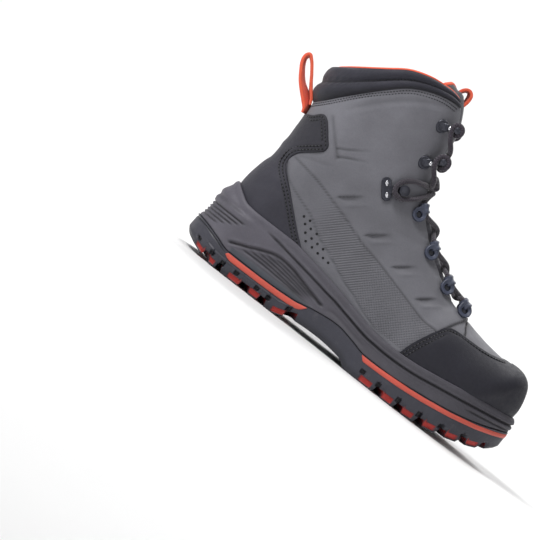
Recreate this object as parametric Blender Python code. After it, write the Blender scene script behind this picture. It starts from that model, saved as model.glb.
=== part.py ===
"""A wading boot, the right one of a pair: cupped midsole and lugged outsole under a hollow lace-up upper.

Frame: +X toe, +Y the medial (inner) side, +Z up, floor at z = 0.
The tables are in 385ths of the sole's length, with the floor at FLOOR.
"""

import math

import bmesh
import bpy
import numpy as np
from mathutils import Matrix

for old in list(bpy.data.objects):
    bpy.data.objects.remove(old, do_unlink=True)

# ---------------------------------------------------------------- driving sizes, metres
LENGTH = 0.320  # sole, heel to toe
UNIT = LENGTH / 385.0  # one table unit
FLOOR = 2.0  # the floor's height in the tables

WALL = 0.0025  # upper, outer fabric with its lining
GAP = 0.0003  # between pieces that meet
OVERLAY = 0.0010  # toe cap and heel counter
TONGUE_THICK = 0.0040
TONGUE_UNDER = 0.0041  # below the upper's outer face
INSOLE_THICK = 0.0035
LACE_RADIUS = 0.0021
WEBBING = 0.0020
LOOP_WIDTH_HEEL = 0.0150
LOOP_WIDTH_TONGUE = 0.0110
LUG_DEPTH = 0.0060


def mm(v):
    """Millimetres in table units."""
    return v * 1e-3 / UNIT


# ---------------------------------------------------------------- tables
# side outline of the form, up the back: x, z, rounding radius
BACK = [
    (-7, 44, 42),
    (-11, 54, 42),
    (-14, 68, 42),
    (-16, 84, 43),
    (-15, 100, 45),
    (-10.5, 120, 47),
    (-7, 137, 49),
    (-6.3, 158, 51),
    (-7.5, 182, 54),
    (-10, 200, 57),
    (-11, 220, 60),
    (-10.5, 242, 62),
]
# down the front: shaft, instep, vamp, toe
FRONT = [
    (97, 300, 62),
    (110.5, 287.5, 62),
    (120.5, 272, 62),
    (126, 255, 62),
    (129.5, 235.5, 62),
    (133, 216, 62),
    (141, 196, 62),
    (154, 174, 62),
    (175, 153, 60),
    (200, 135, 58),
    (224, 121, 56),
    (248, 113.5, 53),
    (275, 109.5, 47),
    (303, 106.5, 43),
    (322, 107, 40),
    (333, 104, 44),
    (340, 97.5, 51),
    (344.5, 86, 60),
    (346.5, 72, 65),
    (344, 56, 66),
    (339, 44, 66),
]
# plan of the form: x, half width, centre line
PLAN = [
    (-33, 41, 0),
    (20, 42.5, 0),
    (70, 41.5, -1),
    (120, 41.5, -4),
    (170, 48.5, -5),
    (210, 57, -3.5),
    (245, 61.5, 0),
    (280, 60.5, 4),
    (320, 55, 9),
    (354, 48, 13),
]
# shaft: z, half width
SHAFT = [(60, 42), (110, 42.5), (140, 45.5), (160, 47), (190, 48.5), (220, 51.5), (250, 56), (300, 61)]
# foot bed under the insole, feather line, parting line of midsole and outsole, lug tips: x, z
BED = [(-33, 49), (60, 47), (120, 44), (180, 37.5), (240, 36), (300, 42.5), (354, 54)]
FEATHER = [
    (-33, 90), (-18, 84.5), (-10, 80), (5, 73), (25, 72), (60, 72), (90, 68.3), (120, 63),
    (150, 57), (180, 50.5), (200, 49), (230, 50.5), (260, 54.5), (300, 60.3), (354, 65),
]
PARTING = [
    (-33, 35), (-20, 33.5), (0, 28.5), (17, 24), (60, 23.8), (100, 26), (120, 30), (148, 33),
    (170, 29.5), (188, 25.8), (215, 26), (245, 28.5), (275, 32), (310, 38), (354, 50),
]
TREAD = [
    (-33, 21), (-30, 15.5), (-20, 10.5), (-10, 7), (2, 3.6), (16, 2), (86, 2), (96, 4.5), (110, 9.5),
    (140, 11), (168, 8.5), (182, 2), (248, 2), (265, 3.2), (290, 7), (315, 13), (335, 19.5), (354, 31),
]
# sole wall from parting line (0) to rim (1): share, x of the heel, x of the toe, margin past the form
SOLE_WALL = [
    (0.00, -31.5, 353.0, 6.6),
    (0.18, -29.0, 353.5, 5.8),
    (0.42, -28.0, 353.5, 5.2),
    (0.62, -28.3, 353.0, 5.0),
    (0.82, -24.0, 352.0, 4.4),
    (1.00, -20.5, 350.5, 3.8),
]
HEEL_ROUND, TOE_ROUND = 46.0, 80.0
# seam at the top of the upper, and the collar's top edge: x, z
COLLAR_SEAM = [(-9.5, 195), (0, 203), (20, 224), (40, 244), (60, 262), (80, 273), (100, 279), (112, 279.5)]
COLLAR_TOP = [(-10.5, 238), (10, 250), (30, 263), (50, 276.5), (70, 284), (86, 287), (97, 288), (104, 284)]
# collar rolls: share up the collar, how proud in mm, how deep inside in mm
COLLAR_ROLLS = [(0.0, 0.4, 2.6), (0.22, 2.9, 7.0), (0.5, 0.7, 7.5), (0.76, 2.9, 6.5), (1.0, 0.2, 2.6)]
# half width of the throat: share of the way from vamp to collar
THROAT_START = (248, 113.5)
THROAT = [(0.0, 8), (0.08, 12), (0.3, 14.5), (0.6, 18), (1.0, 24)]
# tongue half width: share of the way from its vamp end to its top
TONGUE = [(0.0, 20), (0.12, 24), (0.35, 28), (0.65, 34), (0.9, 44), (1.0, 40)]
# heel counter's front edge and the toe cap's rear and top edge: x, z
COUNTER_EDGE = [
    (-12, 179), (-4, 182.5), (5, 189), (10, 191), (16, 188), (24, 179), (32, 169.5), (32.5, 163),
    (24, 154), (12, 144), (8.5, 135), (10, 126.5), (20, 117), (40, 100), (60, 82), (76, 68),
]
CAP_EDGE = [
    (212, 46), (218, 60), (227, 80), (234, 92.5), (242, 99), (255, 101), (275, 101.3), (298, 103.6),
    (307, 106.2), (312.5, 110.5), (315, 117),
]
# tread channels across the sole: x, width
CHANNELS = [
    (-8, 9), (9, 7), (41, 12), (63, 9), (95, 12),
    (206, 9), (231, 9), (256, 9), (281, 9), (306, 9), (330, 8),
]
CHANNEL_SWEEP = 0.22
LOOP_RADIUS = 7.0
# loops and hooks on the lateral side, up the throat: name, x, z, kind
HARDWARE = [
    ("loop_1", 241, 121, "loop"),
    ("loop_2", 213, 131, "loop"),
    ("loop_3", 181, 149, "loop"),
    ("loop_4", 148, 172, "loop"),
    ("lock_hook", 108, 171, "lock"),
    ("hook_1", 120, 215, "hook"),
    ("hook_2", 112, 252, "hook"),
]


# ---------------------------------------------------------------- curves
def smooth(table, q, column=1):
    """Value of a table's column at q, on a smooth curve with no overshoot."""
    xs = np.array([r[0] for r in table], float)
    ys = np.array([r[column] for r in table], float)
    h = np.diff(xs)
    d = np.diff(ys) / h
    m = np.concatenate([[d[0]], np.zeros(len(d) - 1), [d[-1]]])
    same = d[:-1] * d[1:] > 0
    w1, w2 = 2 * h[1:] + h[:-1], h[1:] + 2 * h[:-1]
    safe0, safe1 = np.where(same, d[:-1], 1), np.where(same, d[1:], 1)
    m[1:-1] = np.where(same, (w1 + w2) / (w1 / safe0 + w2 / safe1), 0)
    q = np.clip(np.asarray(q, float), xs[0], xs[-1])
    i = np.clip(np.searchsorted(xs, q, side="right") - 1, 0, len(h) - 1)
    t = (q - xs[i]) / h[i]
    return (
        ys[i] * (1 + 2 * t) * (1 - t) ** 2
        + m[i] * h[i] * t * (1 - t) ** 2
        + ys[i + 1] * t * t * (3 - 2 * t)
        + m[i + 1] * h[i] * t * t * (t - 1)
    )


class Path:
    """A smooth curve through a table's points, read by share of its length."""

    def __init__(self, rows, per=24):
        p = np.array(rows, float)
        ends = np.vstack([2 * p[0] - p[1], p, 2 * p[-1] - p[-2]])
        out = []
        for k in range(len(p) - 1):
            a, b, c, d = ends[k : k + 4]
            t = np.linspace(0, 1, per, endpoint=False)[:, None]
            out.append(0.5 * (2 * b + (c - a) * t + (2 * a - 5 * b + 4 * c - d) * t**2 + (3 * b - a - 3 * c + d) * t**3))
        self.p = np.vstack(out + [p[-1:]])
        s = np.concatenate([[0], np.cumsum(np.linalg.norm(np.diff(self.p[:, :2], axis=0), axis=1))])
        self.length, self.s = s[-1], s / s[-1]

    def at(self, share):
        return np.stack([np.interp(share, self.s, self.p[:, c]) for c in range(self.p.shape[1])], axis=-1)

    def share_near(self, x, z):
        return float(self.s[np.argmin(np.hypot(self.p[:, 0] - x, self.p[:, 1] - z))])


def step(a, b, q):
    t = np.clip((np.asarray(q, float) - a) / (b - a), 0, 1)
    return t * t * (3 - 2 * t)


back_path, front_path = Path(BACK), Path(FRONT)


# ---------------------------------------------------------------- the form of the upper
def _away(path, x, z, side):
    """Distance inward from one outline over its rounding radius; negative outside."""
    p, d = path.p[:-1, :2], np.diff(path.p[:, :2], axis=0)
    best = np.full(x.shape, 1e9)
    value = np.zeros(x.shape)
    ll = (d**2).sum(1)
    for k in range(len(p)):
        rx, rz = x - p[k, 0], z - p[k, 1]
        t = np.clip((rx * d[k, 0] + rz * d[k, 1]) / ll[k], 0, 1)
        ex, ez = rx - t * d[k, 0], rz - t * d[k, 1]
        dist = np.hypot(ex, ez)
        sign = np.where((d[k, 0] * rz - d[k, 1] * rx) * side >= 0, 1, -1)
        radius = path.p[k, 2] + t * (path.p[k + 1, 2] - path.p[k, 2])
        closer = dist < best
        best = np.where(closer, dist, best)
        value = np.where(closer, sign * dist / radius, value)
    return value


def half_base(x, z):
    w = step(60, 150, z)
    return (1 - w) * smooth(PLAN, x, 1) + w * smooth(SHAFT, z, 1)


def centre(x, z):
    return smooth(PLAN, x, 2) * (1 - step(60, 170, z))


def width2(x, z):
    """Square of the form's half width: nothing at the side outline, and full a rounding radius inside it."""
    x, z = np.asarray(x, float), np.asarray(z, float)
    s = np.minimum(np.minimum(_away(back_path, x, z, -1), _away(front_path, x, z, -1)), 1)
    h = half_base(x, z)
    return h * h * (2 * s - s * s)


def surface(x, z, side, offset=0.0):
    """Points of the form on one side (-1 lateral, +1 medial), moved out by offset table units. Returns N x 3."""
    x, z = np.asarray(x, float), np.asarray(z, float)
    e = 0.4
    w = np.sqrt(np.maximum(width2(x, z), 0))
    gx = (width2(x + e, z) - width2(x - e, z)) / (4 * e)
    gz = (width2(x, z + e) - width2(x, z - e)) / (4 * e)
    cx = (centre(x + e, z) - centre(x - e, z)) / (2 * e)
    cz = (centre(x, z + e) - centre(x, z - e)) / (2 * e)
    n = np.stack([-gx - side * w * cx, side * w, -gz - side * w * cz], axis=-1)
    n /= np.maximum(np.linalg.norm(n, axis=-1, keepdims=True), 1e-9)
    p = np.stack([x, centre(x, z) + side * w, z], axis=-1)
    return p + n * np.asarray(offset, float)[..., None] if np.ndim(offset) else p + n * offset


def coons(bottom, top, back, front, us, vs):
    """Side-view grid between four edges given as arrays of points."""
    u, v = us[None, :, None], vs[:, None, None]
    b, t, l, r = bottom[None], top[None], back[:, None], front[:, None]
    corners = (1 - u) * (1 - v) * bottom[0] + u * (1 - v) * bottom[-1] + (1 - u) * v * top[0] + u * v * top[-1]
    return (1 - v) * b + v * t + (1 - u) * l + u * r - corners


# ---------------------------------------------------------------- meshes
def to_metres(p):
    p = np.array(p, float)
    return np.stack([p[..., 0] * UNIT, p[..., 1] * UNIT, (p[..., 2] - FLOOR) * UNIT], axis=-1)


MADE = []


def paint(ob, colour, rough, metal=0.0):
    m = bpy.data.materials.new(ob.name + "_finish")
    m.use_nodes = True
    s = m.node_tree.nodes["Principled BSDF"]
    s.inputs["Base Color"].default_value = (*colour, 1)
    s.inputs["Roughness"].default_value = rough
    s.inputs["Metallic"].default_value = metal
    m.diffuse_color = (*colour, 1)
    ob.data.materials.append(m)


DARK, GREY, MID = (0.045, 0.044, 0.056), (0.17, 0.17, 0.185), (0.10, 0.092, 0.112)
ORANGE, NAVY, STEEL, PURPLE = (0.78, 0.10, 0.04), (0.048, 0.054, 0.09), (0.6, 0.6, 0.63), (0.075, 0.06, 0.08)


def solid(name, verts, faces, colour, rough=0.8, metal=0.0, units=True, smooth_deg=35):
    """A closed mesh object. Its faces are turned outward."""
    me = bpy.data.meshes.new(name)
    pts = to_metres(verts) if units else np.array(verts, float)
    me.from_pydata([tuple(p) for p in pts], [], [tuple(int(i) for i in f) for f in faces])
    bm = bmesh.new()
    bm.from_mesh(me)
    bmesh.ops.remove_doubles(bm, verts=bm.verts, dist=1e-7)
    bmesh.ops.triangulate(bm, faces=bm.faces)
    bmesh.ops.dissolve_degenerate(bm, dist=1e-7, edges=bm.edges)
    bmesh.ops.recalc_face_normals(bm, faces=bm.faces)
    if bm.calc_volume(signed=True) < 0:
        bmesh.ops.reverse_faces(bm, faces=bm.faces)
    bm.to_mesh(me)
    bm.free()
    me.shade_smooth()
    me.set_sharp_from_angle(angle=math.radians(smooth_deg))
    ob = bpy.data.objects.new(name, me)
    bpy.context.scene.collection.objects.link(ob)
    paint(ob, colour, rough, metal)
    MADE.append(ob)
    return ob


def cutter(ob):
    ob.hide_render = True
    ob.display_type = "WIRE"
    MADE.remove(ob)
    return ob


def boolean(ob, other, how):
    m = ob.modifiers.new(how.lower() + "_" + other.name, "BOOLEAN")
    m.operation, m.solver, m.object = how, "EXACT", other


class Sheet:
    """A grid on the form, both sides, given thickness. Where shared is true, the two sides have one point on the centre line."""

    def __init__(self, grid, shared):
        self.grid, self.rows, self.cols = grid, grid.shape[0], grid.shape[1]
        n, self.index = 0, {}
        for i in range(self.rows):
            for j in range(self.cols):
                for side in (-1, 1):
                    if shared[i, j] and side == 1:
                        self.index[1, i, j] = self.index[-1, i, j]
                    else:
                        self.index[side, i, j] = n
                        n += 1
        self.n = n
        self.faces = []
        for i in range(self.rows - 1):
            for j in range(self.cols - 1):
                for side in (-1, 1):
                    q = [self.index[side, i, j], self.index[side, i, j + 1], self.index[side, i + 1, j + 1], self.index[side, i + 1, j]]
                    self.faces.append(q if side == -1 else q[::-1])

    def points(self, offset):
        """offset is one number, or a grid of them."""
        off = np.broadcast_to(np.asarray(offset, float), (self.rows, self.cols)).ravel()
        out = np.zeros((self.n, 3))
        for side in (1, -1):
            p = surface(self.grid[..., 0].ravel(), self.grid[..., 1].ravel(), side, off)
            for i in range(self.rows):
                for j in range(self.cols):
                    out[self.index[side, i, j]] = p[i * self.cols + j]
        for i in range(self.rows):
            for j in range(self.cols):
                if self.index[1, i, j] == self.index[-1, i, j]:
                    k = self.index[1, i, j]
                    out[k, 1] = centre(self.grid[i, j, 0], self.grid[i, j, 1])
        return out

    def closed(self, outer, inner):
        """Vertices and faces of the body between two offsets."""
        a, b = self.points(outer), self.points(inner)
        edges = {}
        for f in self.faces:
            for k in range(4):
                e = (f[k], f[(k + 1) % 4])
                if e[0] != e[1]:
                    edges[e] = edges.get(e, 0) + 1
        rim = [e for e in edges if (e[1], e[0]) not in edges]
        faces = [list(f) for f in self.faces]
        faces += [[i + self.n for i in reversed(f)] for f in self.faces]
        faces += [[e[1], e[0], e[0] + self.n, e[1] + self.n] for e in rim]
        return np.vstack([a, b]), faces


def cosine(n):
    return (1 - np.cos(np.linspace(0, math.pi, n + 1))) / 2


# ---------------------------------------------------------------- upper
ROWS = 12
BACK_COLS, SHAFT_COLS, THROAT_COLS, TOE_COLS = 5, 5, 11, 6


def line_ends(table, lift=0.0):
    """Where a line across the form meets its back and front outlines."""
    out = []
    for path in (back_path, front_path):
        k = np.argmin(np.abs(smooth(table, path.p[:, 0]) + lift - path.p[:, 1]) + 1e3 * (path.p[:, 1] > 96))
        out.append(path.p[k, :2])
    return out


def across(table, us, lift=0.0):
    """Points of a line on the form's side from back outline to front outline."""
    (x0, _), (x1, _) = line_ends(table, lift)
    x = x0 + (x1 - x0) * us
    return np.stack([x, smooth(table, x) + lift], axis=-1)


def sunk(x, z, n, radius, y):
    """How far under the front outline the form is y wide to each side."""
    depth = 0.0
    for _ in range(4):  # the width changes a little on the way in
        h = float(half_base(x + n[0] * depth, z + n[1] * depth))
        depth = radius * (1 - math.sqrt(1 - min(abs(y) / h, 0.97) ** 2))
    return depth


def front_frame(share):
    """Point on the front outline, the direction into the boot, and the rounding radius."""
    x, z, radius = front_path.at(share)
    dx, dz = front_path.at(min(share + 0.004, 1))[:2] - front_path.at(max(share - 0.004, 0))[:2]
    return np.array([x, z]), np.array([dz, -dx]) / math.hypot(dx, dz), float(radius)


def throat_front(share, gap):
    """Front outline point, sunk to where the form is 2 x gap wide."""
    (x, z), n, radius = front_frame(share)
    return np.array([x, z]) + n * sunk(x, z, n, radius, gap)


feather_ends = line_ends(FEATHER)
s_feather, s_throat, s_top = (
    front_path.share_near(*feather_ends[1]),
    front_path.share_near(*THROAT_START),
    front_path.share_near(112, 279),
)
b_feather, b_top = back_path.share_near(*feather_ends[0]), back_path.share_near(-9.5, 195)
corner = throat_front(s_top, float(smooth(THROAT, 1.0)))
seam = Path(COLLAR_SEAM[:-1] + [tuple(corner)])
front_length = (s_feather - s_top) * front_path.length
u_corner = seam.length / (seam.length + front_length)
u_throat = u_corner + (1 - u_corner) * (s_throat - s_top) / (s_feather - s_top)
near_back = 0.125 * (1 - np.cos(np.linspace(0, math.pi / 2, BACK_COLS + 1)))
near_toe = 1 - (1 - u_throat) * (1 - np.cos(np.linspace(math.pi / 2, 0, TOE_COLS + 1)))
us = np.concatenate([
    near_back,
    np.linspace(near_back[-1], u_corner, SHAFT_COLS + 1)[1:],
    np.linspace(u_corner, u_throat, THROAT_COLS + 1)[1:],
    near_toe[1:],
])
seam_cols = BACK_COLS + SHAFT_COLS
vs = np.sin(np.linspace(0, math.pi / 2, ROWS + 1))
open_top = (us > -1) & (us < u_throat - 1e-6)


def top_edge(u):
    """The upper's top edge: along the collar seam, then down the throat, then the centre line to the toe."""
    if u <= u_corner + 1e-9:
        return seam.at(u / u_corner)
    share = s_top + (u - u_corner) / (1 - u_corner) * (s_feather - s_top)
    if u < u_throat - 1e-6:
        return throat_front(share, float(smooth(THROAT, (u_throat - u) / (u_throat - u_corner))))
    return front_path.at(share)[:2]


feather_row, bed_row = across(FEATHER, us), across(BED, us, mm(0.45))
top_row = np.array([top_edge(u) for u in us])
back_edge = back_path.at(b_feather + vs * (b_top - b_feather))[:, :2]
top_row[0], top_row[-1] = back_edge[-1], feather_row[-1]
main = coons(feather_row, top_row, back_edge, np.repeat(feather_row[-1:], ROWS + 1, 0), us, vs)
upper_grid = np.concatenate([bed_row[None], (bed_row + feather_row)[None] / 2, main])
shared = np.zeros(upper_grid.shape[:2], bool)
shared[:, 0] = shared[:, -1] = True
shared[-1, ~open_top] = True
shared[-1, 0] = True
seam_row = top_row[: seam_cols + 1]
upper_sheet = Sheet(upper_grid, shared)
solid("upper", *upper_sheet.closed(0.0, -mm(1e3 * WALL)), GREY, 0.85)

# ---------------------------------------------------------------- collar
shares = np.array([r[0] for r in COLLAR_ROLLS])
collar_us = us[: seam_cols + 1] / u_corner
s_collar = front_path.share_near(108, 286)
collar_front = np.array([throat_front(s_top + q * (s_collar - s_top), 24.5) for q in shares])
collar_back = back_path.at(b_top + mm(0.5) / back_path.length + shares * (back_path.share_near(-10.5, 238) - b_top))[:, :2]
bottom = seam_row + np.array([0, mm(0.5)])
bottom[0] = collar_back[0]
collar_front[0] = bottom[-1]
top = Path(COLLAR_TOP[:-1] + [tuple(collar_front[-1])]).at(collar_us)
top[0] = collar_back[-1]
collar_grid = coons(bottom, top, collar_back, collar_front, collar_us, shares)
slim = 1 - step(0.45, 0.75, collar_us)[None, :]
proud = mm(np.array([r[1] for r in COLLAR_ROLLS]))[:, None] * np.ones((1, seam_cols + 1))
deep = mm(2.2) + (mm(np.array([r[2] for r in COLLAR_ROLLS])) - mm(2.2))[:, None] * slim
collar_shared = np.zeros(collar_grid.shape[:2], bool)
collar_shared[:, 0] = True
solid("collar", *Sheet(collar_grid, collar_shared).closed(proud, -deep), DARK, 0.8)


# ---------------------------------------------------------------- overlays
def prism(name, outline, reach=90):
    """The side-view outline, drawn out across the boot."""
    n = len(outline)
    v = [(x, -reach, z) for x, z in outline] + [(x, reach, z) for x, z in outline]
    f = [list(range(n)), list(range(2 * n - 1, n - 1, -1))] + [[i, i + n, (i + 1) % n + n, (i + 1) % n] for i in range(n)]
    return cutter(solid(name, v, f, DARK))


def overlay(name, rows, outline, colour):
    sheet = Sheet(upper_grid[rows], shared[rows])
    ob = solid(name, *sheet.closed(mm(1e3 * (GAP + OVERLAY)), mm(1e3 * GAP)), colour, 0.75)
    boolean(ob, prism(name + "_outline", outline), "INTERSECT")
    return ob


def feather_edge(x0, x1, n):
    x = np.linspace(x0, x1, n)
    return [(a, float(b)) for a, b in zip(x, smooth(FEATHER, x) + 0.3)]


counter = [tuple(p) for p in Path(COUNTER_EDGE, 3).p[:-1]]
counter = [p for p in counter if p[1] > smooth(FEATHER, p[0]) + 0.8]
overlay(
    "heel_counter", list(range(2, 2 + ROWS + 1)), [(-26, 179)] + counter + feather_edge(73, -26, 14), DARK
)
cap = [tuple(p) for p in Path(CAP_EDGE, 3).p]
cap = [p for p in cap if p[1] > smooth(FEATHER, p[0]) + 0.8]
overlay(
    "toe_cap", list(range(2, 2 + ROWS + 1)), feather_edge(340, 214.5, 8) + cap + [(360, 120), (360, 65.5)], DARK
)

# ---------------------------------------------------------------- sole
fractions = np.concatenate([
    (1 - np.cos(np.linspace(0, math.pi / 2, 6))) * HEEL_ROUND,
    np.linspace(HEEL_ROUND, 387 - TOE_ROUND, 21)[1:-1],
    387 - (1 - np.cos(np.linspace(math.pi / 2, 0, 8))) * TOE_ROUND,
]) / 387


def end_round(x, x0, x1):
    a, b = np.clip((x - x0) / HEEL_ROUND, 0, 1), np.clip((x1 - x) / TOE_ROUND, 0, 1)
    return np.sqrt(1 - (1 - a) ** 2) * np.sqrt(1 - (1 - b) ** 2)


def sole_ring(x0, x1, margin, height):
    """One closed line round the sole: x, y lateral, y medial, z."""
    x = x0 + (x1 - x0) * fractions
    half = (smooth(PLAN, x, 1) + margin) * end_round(x, x0, x1)
    mid = smooth(PLAN, x, 2)
    return x, mid - half, mid + half, height(x)


def loft(rings, close_low=True, close_high=True):
    """Body through rings that each run heel to toe on the lateral side and back on the medial side."""
    verts, faces, n = [], [], len(rings[0][0])
    ring_index = []
    for x, lat, med, z in rings:
        k = len(verts)
        verts += [(x[j], lat[j], z[j]) for j in range(n)] + [(x[j], med[j], z[j]) for j in range(n - 2, 0, -1)]
        ring_index.append(list(range(k, k + 2 * n - 2)))
    m = 2 * n - 2
    for a, b in zip(ring_index, ring_index[1:]):
        faces += [[a[k], a[(k + 1) % m], b[(k + 1) % m], b[k]] for k in range(m)]

    def cap_faces(r):
        out = []
        for j in range(n - 1):
            f = [r[j], r[j + 1], r[(m - j - 1) % m], r[(m - j) % m]]
            out.append([i for k, i in enumerate(f) if i not in f[:k]])
        return out

    faces += [f[::-1] for f in cap_faces(ring_index[0])] + cap_faces(ring_index[-1])
    return np.array(verts), faces


tread = lambda x: smooth(TREAD, x)
parting = lambda x: smooth(PARTING, x)
rim = lambda x: smooth(FEATHER, x) - 0.5
lug_gap = mm(0.3)
outsole = solid(
    "outsole",
    *loft([
        sole_ring(-30.5, 351.0, 5.4, tread),
        sole_ring(-33.0, 353.6, 7.4, lambda x: tread(x) + np.minimum(4.0, 0.5 * (parting(x) - tread(x)))),
        sole_ring(-32.0, 353.8, 7.0, lambda x: parting(x) - lug_gap),
    ]),
    DARK,
    0.85,
)


def channel(name, x, width):
    """A V-shaped channel across the tread."""
    d = mm(1e3 * LUG_DEPTH)
    ys = np.array([-80.0, 0.0, 80.0])
    xs = x + CHANNEL_SWEEP * np.abs(ys)
    mid = float(smooth(PLAN, x, 2))
    low = [(a - width / 2, y + mid, -8) for a, y in zip(xs, ys)] + [(a + width / 2, y + mid, -8) for a, y in zip(xs[::-1], ys[::-1])]
    level = float(tread(x)) + d
    slope = float(tread(x + 6) - tread(x - 6)) / 12
    high = [(a, b, level + slope * (a - x)) for a, b, _ in low]
    n = len(low)
    f = [list(range(n)), list(range(2 * n - 1, n - 1, -1))] + [[i, i + n, (i + 1) % n + n, (i + 1) % n] for i in range(n)]
    return cutter(solid(name, low + high, f, DARK))


def furrow(name, x0, x1, side, width, n):
    """A channel along the tread, between its middle and its edge lugs."""
    d = mm(1e3 * LUG_DEPTH)
    x = np.linspace(x0, x1, n)
    mid = smooth(PLAN, x, 2) + side * smooth(PLAN, x, 1) * 0.36
    v, f = [], []
    for a, m, t in zip(x, mid, tread(x)):
        v += [(a, m - width / 2, -8), (a, m + width / 2, -8), (a, m + width / 2, t + d), (a, m - width / 2, t + d)]
    for k in range(n - 1):
        for c in range(4):
            f.append([4 * k + c, 4 * k + (c + 1) % 4, 4 * k + 4 + (c + 1) % 4, 4 * k + 4 + c])
    f += [[3, 2, 1, 0], [4 * n - 4, 4 * n - 3, 4 * n - 2, 4 * n - 1]]
    return cutter(solid(name, v, f, DARK))


for k, (x, w) in enumerate(CHANNELS):
    boolean(outsole, channel(f"channel_{k}", x, w), "DIFFERENCE")
for k, (x0, x1, n) in enumerate([(-14, 100, 6), (198, 336, 9)]):
    for side in (-1, 1):
        boolean(outsole, furrow(f"furrow_{k}_{side + 1}", x0, x1, side, 7, n), "DIFFERENCE")

wall = [
    sole_ring(x0, x1, margin, lambda x, s=share: (1 - s) * parting(x) + s * rim(x))
    for share, x0, x1, margin in SOLE_WALL
]
cup = []  # the inside of the midsole's cup follows the upper, one gap outside it
cup_sheet = Sheet(upper_grid[:3], shared[:3])
cup_points = cup_sheet.points(mm(1e3 * GAP) + 0.05)
for i, drop in ((2, 0.5), (1, 0), (0, mm(0.45))):
    lat = np.array([cup_points[cup_sheet.index[-1, i, j]] for j in range(len(us))])
    med = np.array([cup_points[cup_sheet.index[1, i, j]] for j in range(len(us))])
    cup.append((lat, med, drop))


def midsole_body():
    """Outer wall rings, then a bridge at the rim to the cup's own columns, and the cup's floor."""
    verts, faces = loft(wall)
    verts = verts.tolist()
    n = len(fractions)
    m = 2 * n - 2
    top = list(range(len(verts) - m, len(verts)))
    faces = faces[: -(n - 1)]  # leave the top open
    rings = []
    for lat, med, drop in cup:
        k = len(verts)
        pts = [list(p) for p in lat] + [list(p) for p in med[-2:0:-1]]
        for p in pts:
            p[2] -= drop
        verts += pts
        rings.append(list(range(k, k + len(pts))))
    q = len(rings[0])

    def bridge(a, b):
        """Triangles between two rings of different counts, matched by their x on each side."""
        na, nb = len(a) // 2, len(b) // 2
        out = []
        for sa, sb in (
            (a[: na + 1], b[: nb + 1]),
            ([a[0]] + a[: na - 1 : -1], [b[0]] + b[: nb - 1 : -1]),
        ):
            i = j = 0
            while i < len(sa) - 1 or j < len(sb) - 1:
                ta = verts[sa[i + 1]][0] if i < len(sa) - 1 else 1e9
                tb = verts[sb[j + 1]][0] if j < len(sb) - 1 else 1e9
                if ta <= tb:
                    out.append([sa[i], sa[i + 1], sb[j]])
                    i += 1
                else:
                    out.append([sa[i], sb[j + 1], sb[j]])
                    j += 1
        return out

    faces += bridge(top, rings[0])
    for a, b in zip(rings, rings[1:]):
        faces += [[a[k], a[(k + 1) % q], b[(k + 1) % q], b[k]] for k in range(q)]
    r = rings[-1]
    for j in range(q // 2):
        f = [r[j], r[j + 1], r[(q - j - 1) % q], r[(q - j) % q]]
        faces.append([i for k, i in enumerate(f) if i not in f[:k]])
    return verts, faces


solid("midsole", *midsole_body(), MID, 0.8)

# ---------------------------------------------------------------- insole
ins_us = us[1:-1]
ins = across(BED, us, mm(0.45))
inner_lat = surface(ins[:, 0], ins[:, 1], -1, -mm(1e3 * WALL + 0.6))
inner_med = surface(ins[:, 0], ins[:, 1], 1, -mm(1e3 * WALL + 0.6))


def insole_ring(lift, shrink):
    mid = (inner_lat[:, 1] + inner_med[:, 1]) / 2
    return (
        inner_lat[:, 0] + (170 - inner_lat[:, 0]) * shrink * 0.01,
        mid + (inner_lat[:, 1] - mid) * (1 - shrink * 0.03),
        mid + (inner_med[:, 1] - mid) * (1 - shrink * 0.03),
        smooth(BED, inner_lat[:, 0]) + lift,
    )


solid("insole", *loft([insole_ring(mm(0.45), 1), insole_ring(mm(0.45 + 1e3 * INSOLE_THICK), 0.6)]), DARK, 0.9)

# ---------------------------------------------------------------- tongue
TONGUE_LONG, TONGUE_WIDE = 17, 10
t_low, t_high = front_path.share_near(264, 111), front_path.share_near(103, 292)


def front_point(share, y, depth):
    """A point behind the front outline: y across from the centre line, and depth under the form's face."""
    (x, z), n, radius = front_frame(share)
    slope = (sunk(x, z, n, radius, y + 0.2) - sunk(x, z, n, radius, y - 0.2)) / 0.4
    k = depth / math.hypot(1, slope)
    sink = sunk(x, z, n, radius, y) + k
    px, pz = x + n[0] * sink, z + n[1] * sink
    return (px, float(centre(px, pz)) + y - k * slope, pz)


def tongue_body():
    verts, faces = [], []
    shares = np.linspace(t_low, t_high, TONGUE_LONG + 1)
    rows = len(shares)
    for layer in (0, 1):
        for i, s in enumerate(shares):
            q = i / TONGUE_LONG
            half = float(smooth(TONGUE, q))
            up = (s_throat - s) / (s_throat - s_top)
            g = float(smooth(THROAT, up))
            for j in range(TONGUE_WIDE + 1):
                y = half * math.sin((j / TONGUE_WIDE - 0.5) * math.pi)
                rise = mm(2.2) * step(0, 1, (g - mm(1.6) - abs(y)) / 5) * step(0.05, 0.14, up)
                under = mm(1e3 * TONGUE_UNDER) - float(rise) + layer * mm(1e3 * TONGUE_THICK)
                verts.append(front_point(s, y, under))
    w, half_n = TONGUE_WIDE + 1, rows * (TONGUE_WIDE + 1)
    for i in range(rows - 1):
        for j in range(TONGUE_WIDE):
            a = [i * w + j, i * w + j + 1, (i + 1) * w + j + 1, (i + 1) * w + j]
            faces.append(a)
            faces.append([k + half_n for k in reversed(a)])
    edge = [i * w for i in range(rows)] + [(rows - 1) * w + j for j in range(1, w)]
    edge += [i * w + w - 1 for i in range(rows - 2, -1, -1)] + [j for j in range(w - 2, 0, -1)]
    for k in range(len(edge)):
        a, b = edge[k], edge[(k + 1) % len(edge)]
        faces.append([a, b, b + half_n, a + half_n])
    return verts, faces


solid("tongue", *tongue_body(), GREY, 0.85)


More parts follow.
